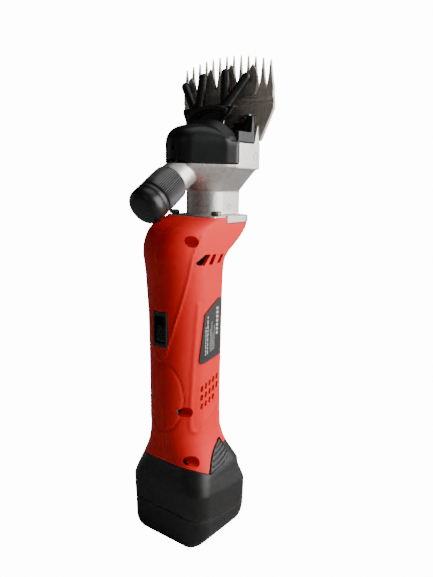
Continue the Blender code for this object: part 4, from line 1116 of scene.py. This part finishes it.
def comb():
    """The comb: thirteen long teeth, hollow-ground towards the cutter, with two open slots for its screws."""
    points = []
    half = (TEETH - 1) / 2
    for k in range(TEETH):
        x = (k - half) * PITCH
        tip = TIP_Z - TIP_SAG * (x / (half * PITCH)) ** 2
        root = ROOT_Z - 1.4 * (x / (half * PITCH)) ** 2
        if k:
            gap = x - PITCH / 2
            points += [(gap - 0.3, root - 0.8), (gap, root - 1.0), (gap + 0.3, root - 0.8)]
        else:
            points += [(x - 3.2, 318.0), (x - 2.6, 325.0)]
        side = [(2.75, root + 1.4), (2.35, root + 3.6), (1.85, root + 6.4), (1.35, root + 9.6),
                (1.0, root + 13.0), (0.55, tip - 3.0), (0.3, tip - 0.4)]
        points += [(x - w, z) for w, z in side] + [(x, tip)] + [(x + w, z) for w, z in reversed(side)]
    points.append((half * PITCH + 2.6, 325.0))
    edge = [(41.5, 317.6), (41.5, 314.5), (31.4, 293.2), (30.0, 292.0), (25.6, 296.0), (25.6, 308.6),
            (24.5, 310.6), (22.0, 311.6), (19.5, 310.6), (18.4, 308.6), (18.4, 296.0)]
    points += edge + [(-x, z) for x, z in reversed(edge)]
    bm = prism_y(points, *COMB_Y)
    cut_across(bm, 2, (300.0, 308.0, 314.0, 317.6, 318.4, 321.2, 322.0, 326.0, 331.0, 336.0, 341.0, 346.0))
    for v in bm.verts:
        z = v.co.z
        if v.co.y > 38.5:
            t = min(max((z - 322.0) / 31.0, 0.0), 1.0)
            v.co.y -= 1.9 * t
        elif 318.3 < z < 321.3:
            v.co.y += 0.9
    piece = put("comb_plate", bm, COMB, "comb", ["comb"], 25.0)
    round_edges(piece, 0.2)


shells()
slot_shade_sheets()
screws()
seam_tongues()
battery()
latches()
label_marks()
switch_slider()
casting()
cover()
knob()
fork()
cutter()
comb()
for name in ("switch_housing", "flange_screw_front_right", "flange_screw_front_left", "comb_screw_right",
             "comb_screw_left", "heat_sink", "handle_terminal", "battery_contacts"):
    round_edges(NODES[name], 0.2)


# ---- floor, lights and camera

def lit_and_seen(tree, lit, seen, output):
    """Let one shader light the object while the camera sees another, so that the backdrop stays white."""
    ray = tree.nodes.new("ShaderNodeLightPath")
    mix = tree.nodes.new("ShaderNodeMixShader")
    tree.links.new(ray.outputs["Is Camera Ray"], mix.inputs["Fac"])
    tree.links.new(lit, mix.inputs[1])
    tree.links.new(seen, mix.inputs[2])
    tree.links.new(mix.outputs["Shader"], tree.nodes[output].inputs["Surface"])


stage_white = bpy.data.materials.new("studio_white")
stage_white.use_nodes = True
tree = stage_white.node_tree
shader = tree.nodes["Principled BSDF"]
shader.inputs["Base Color"].default_value = (0.4, 0.4, 0.4, 1.0)
shader.inputs["Roughness"].default_value = 0.9
glow = node(tree, "ShaderNodeEmission", Strength=BACKDROP_GLOW)
lit_and_seen(tree, shader.outputs["BSDF"], glow.outputs["Emission"], "Material Output")

bm = bmesh.new()
bmesh.ops.create_circle(bm, cap_ends=True, segments=64, radius=6.0)
mesh = bpy.data.meshes.new("studio_floor")
bm.to_mesh(mesh)
bm.free()
mesh.materials.append(stage_white)
floor = new_object("studio_floor", mesh)
floor.location.z = -0.0005

world = bpy.data.worlds.new("studio")
bpy.context.scene.world = world
world.use_nodes = True
tree = world.node_tree
soft = tree.nodes["Background"]
bright = node(tree, "ShaderNodeBackground", Strength=BACKDROP_GLOW)
for background in (soft, bright):
    background.inputs["Color"].default_value = (1.0, 1.0, 1.0, 1.0)
soft.inputs["Strength"].default_value = 0.02
lit_and_seen(tree, soft.outputs["Background"], bright.outputs["Background"], "World Output")


def lamp(name, at, aim, size, power):
    """A soft rectangular light."""
    data = bpy.data.lights.new(name, 'AREA')
    data.shape = 'RECTANGLE'
    data.size, data.size_y = size
    data.energy = power
    obj = new_object(name, data)
    obj.location = at
    obj.rotation_euler = (Vector(aim) - Vector(at)).to_track_quat('-Z', 'Y').to_euler()


lamp("key", (0.99, 0.5, 0.6), (0.0, 0.0, 0.2), (1.3, 1.1), 36.0)
lamp("front_strip", (0.3, -1.05, 0.7), (0.0, 0.0, 0.15), (0.2, 0.5), 0.4)
lamp("left_strip", (-0.75, -0.25, 0.25), (0.0, 0.0, 0.25), (0.16, 0.7), 0.2)
lamp("top", (0.1, 0.2, 1.2), (0.0, 0.0, 0.25), (0.7, 0.7), 2.0)
lamp("front_left", (-0.55, -1.0, 0.45), (0.0, 0.0, 0.2), (0.9, 0.9), 0.3)

camera = bpy.data.cameras.new("camera")
camera.sensor_width = 36.0
camera.lens = 35.31
eye = new_object("camera", camera)
right = Vector((0.79437, 0.60721, 0.01656))
up = Vector((-0.12672, 0.13900, 0.98215))
forward = Vector((-0.59407, 0.78229, -0.18736))
pose = Matrix((right, up, -forward)).transposed().to_4x4()
pose.translation = Vector((0.26138, -0.31463, 0.26391))
eye.matrix_world = pose
camera.clip_start = 0.02
camera.clip_end = 20.0
bpy.context.scene.camera = eye
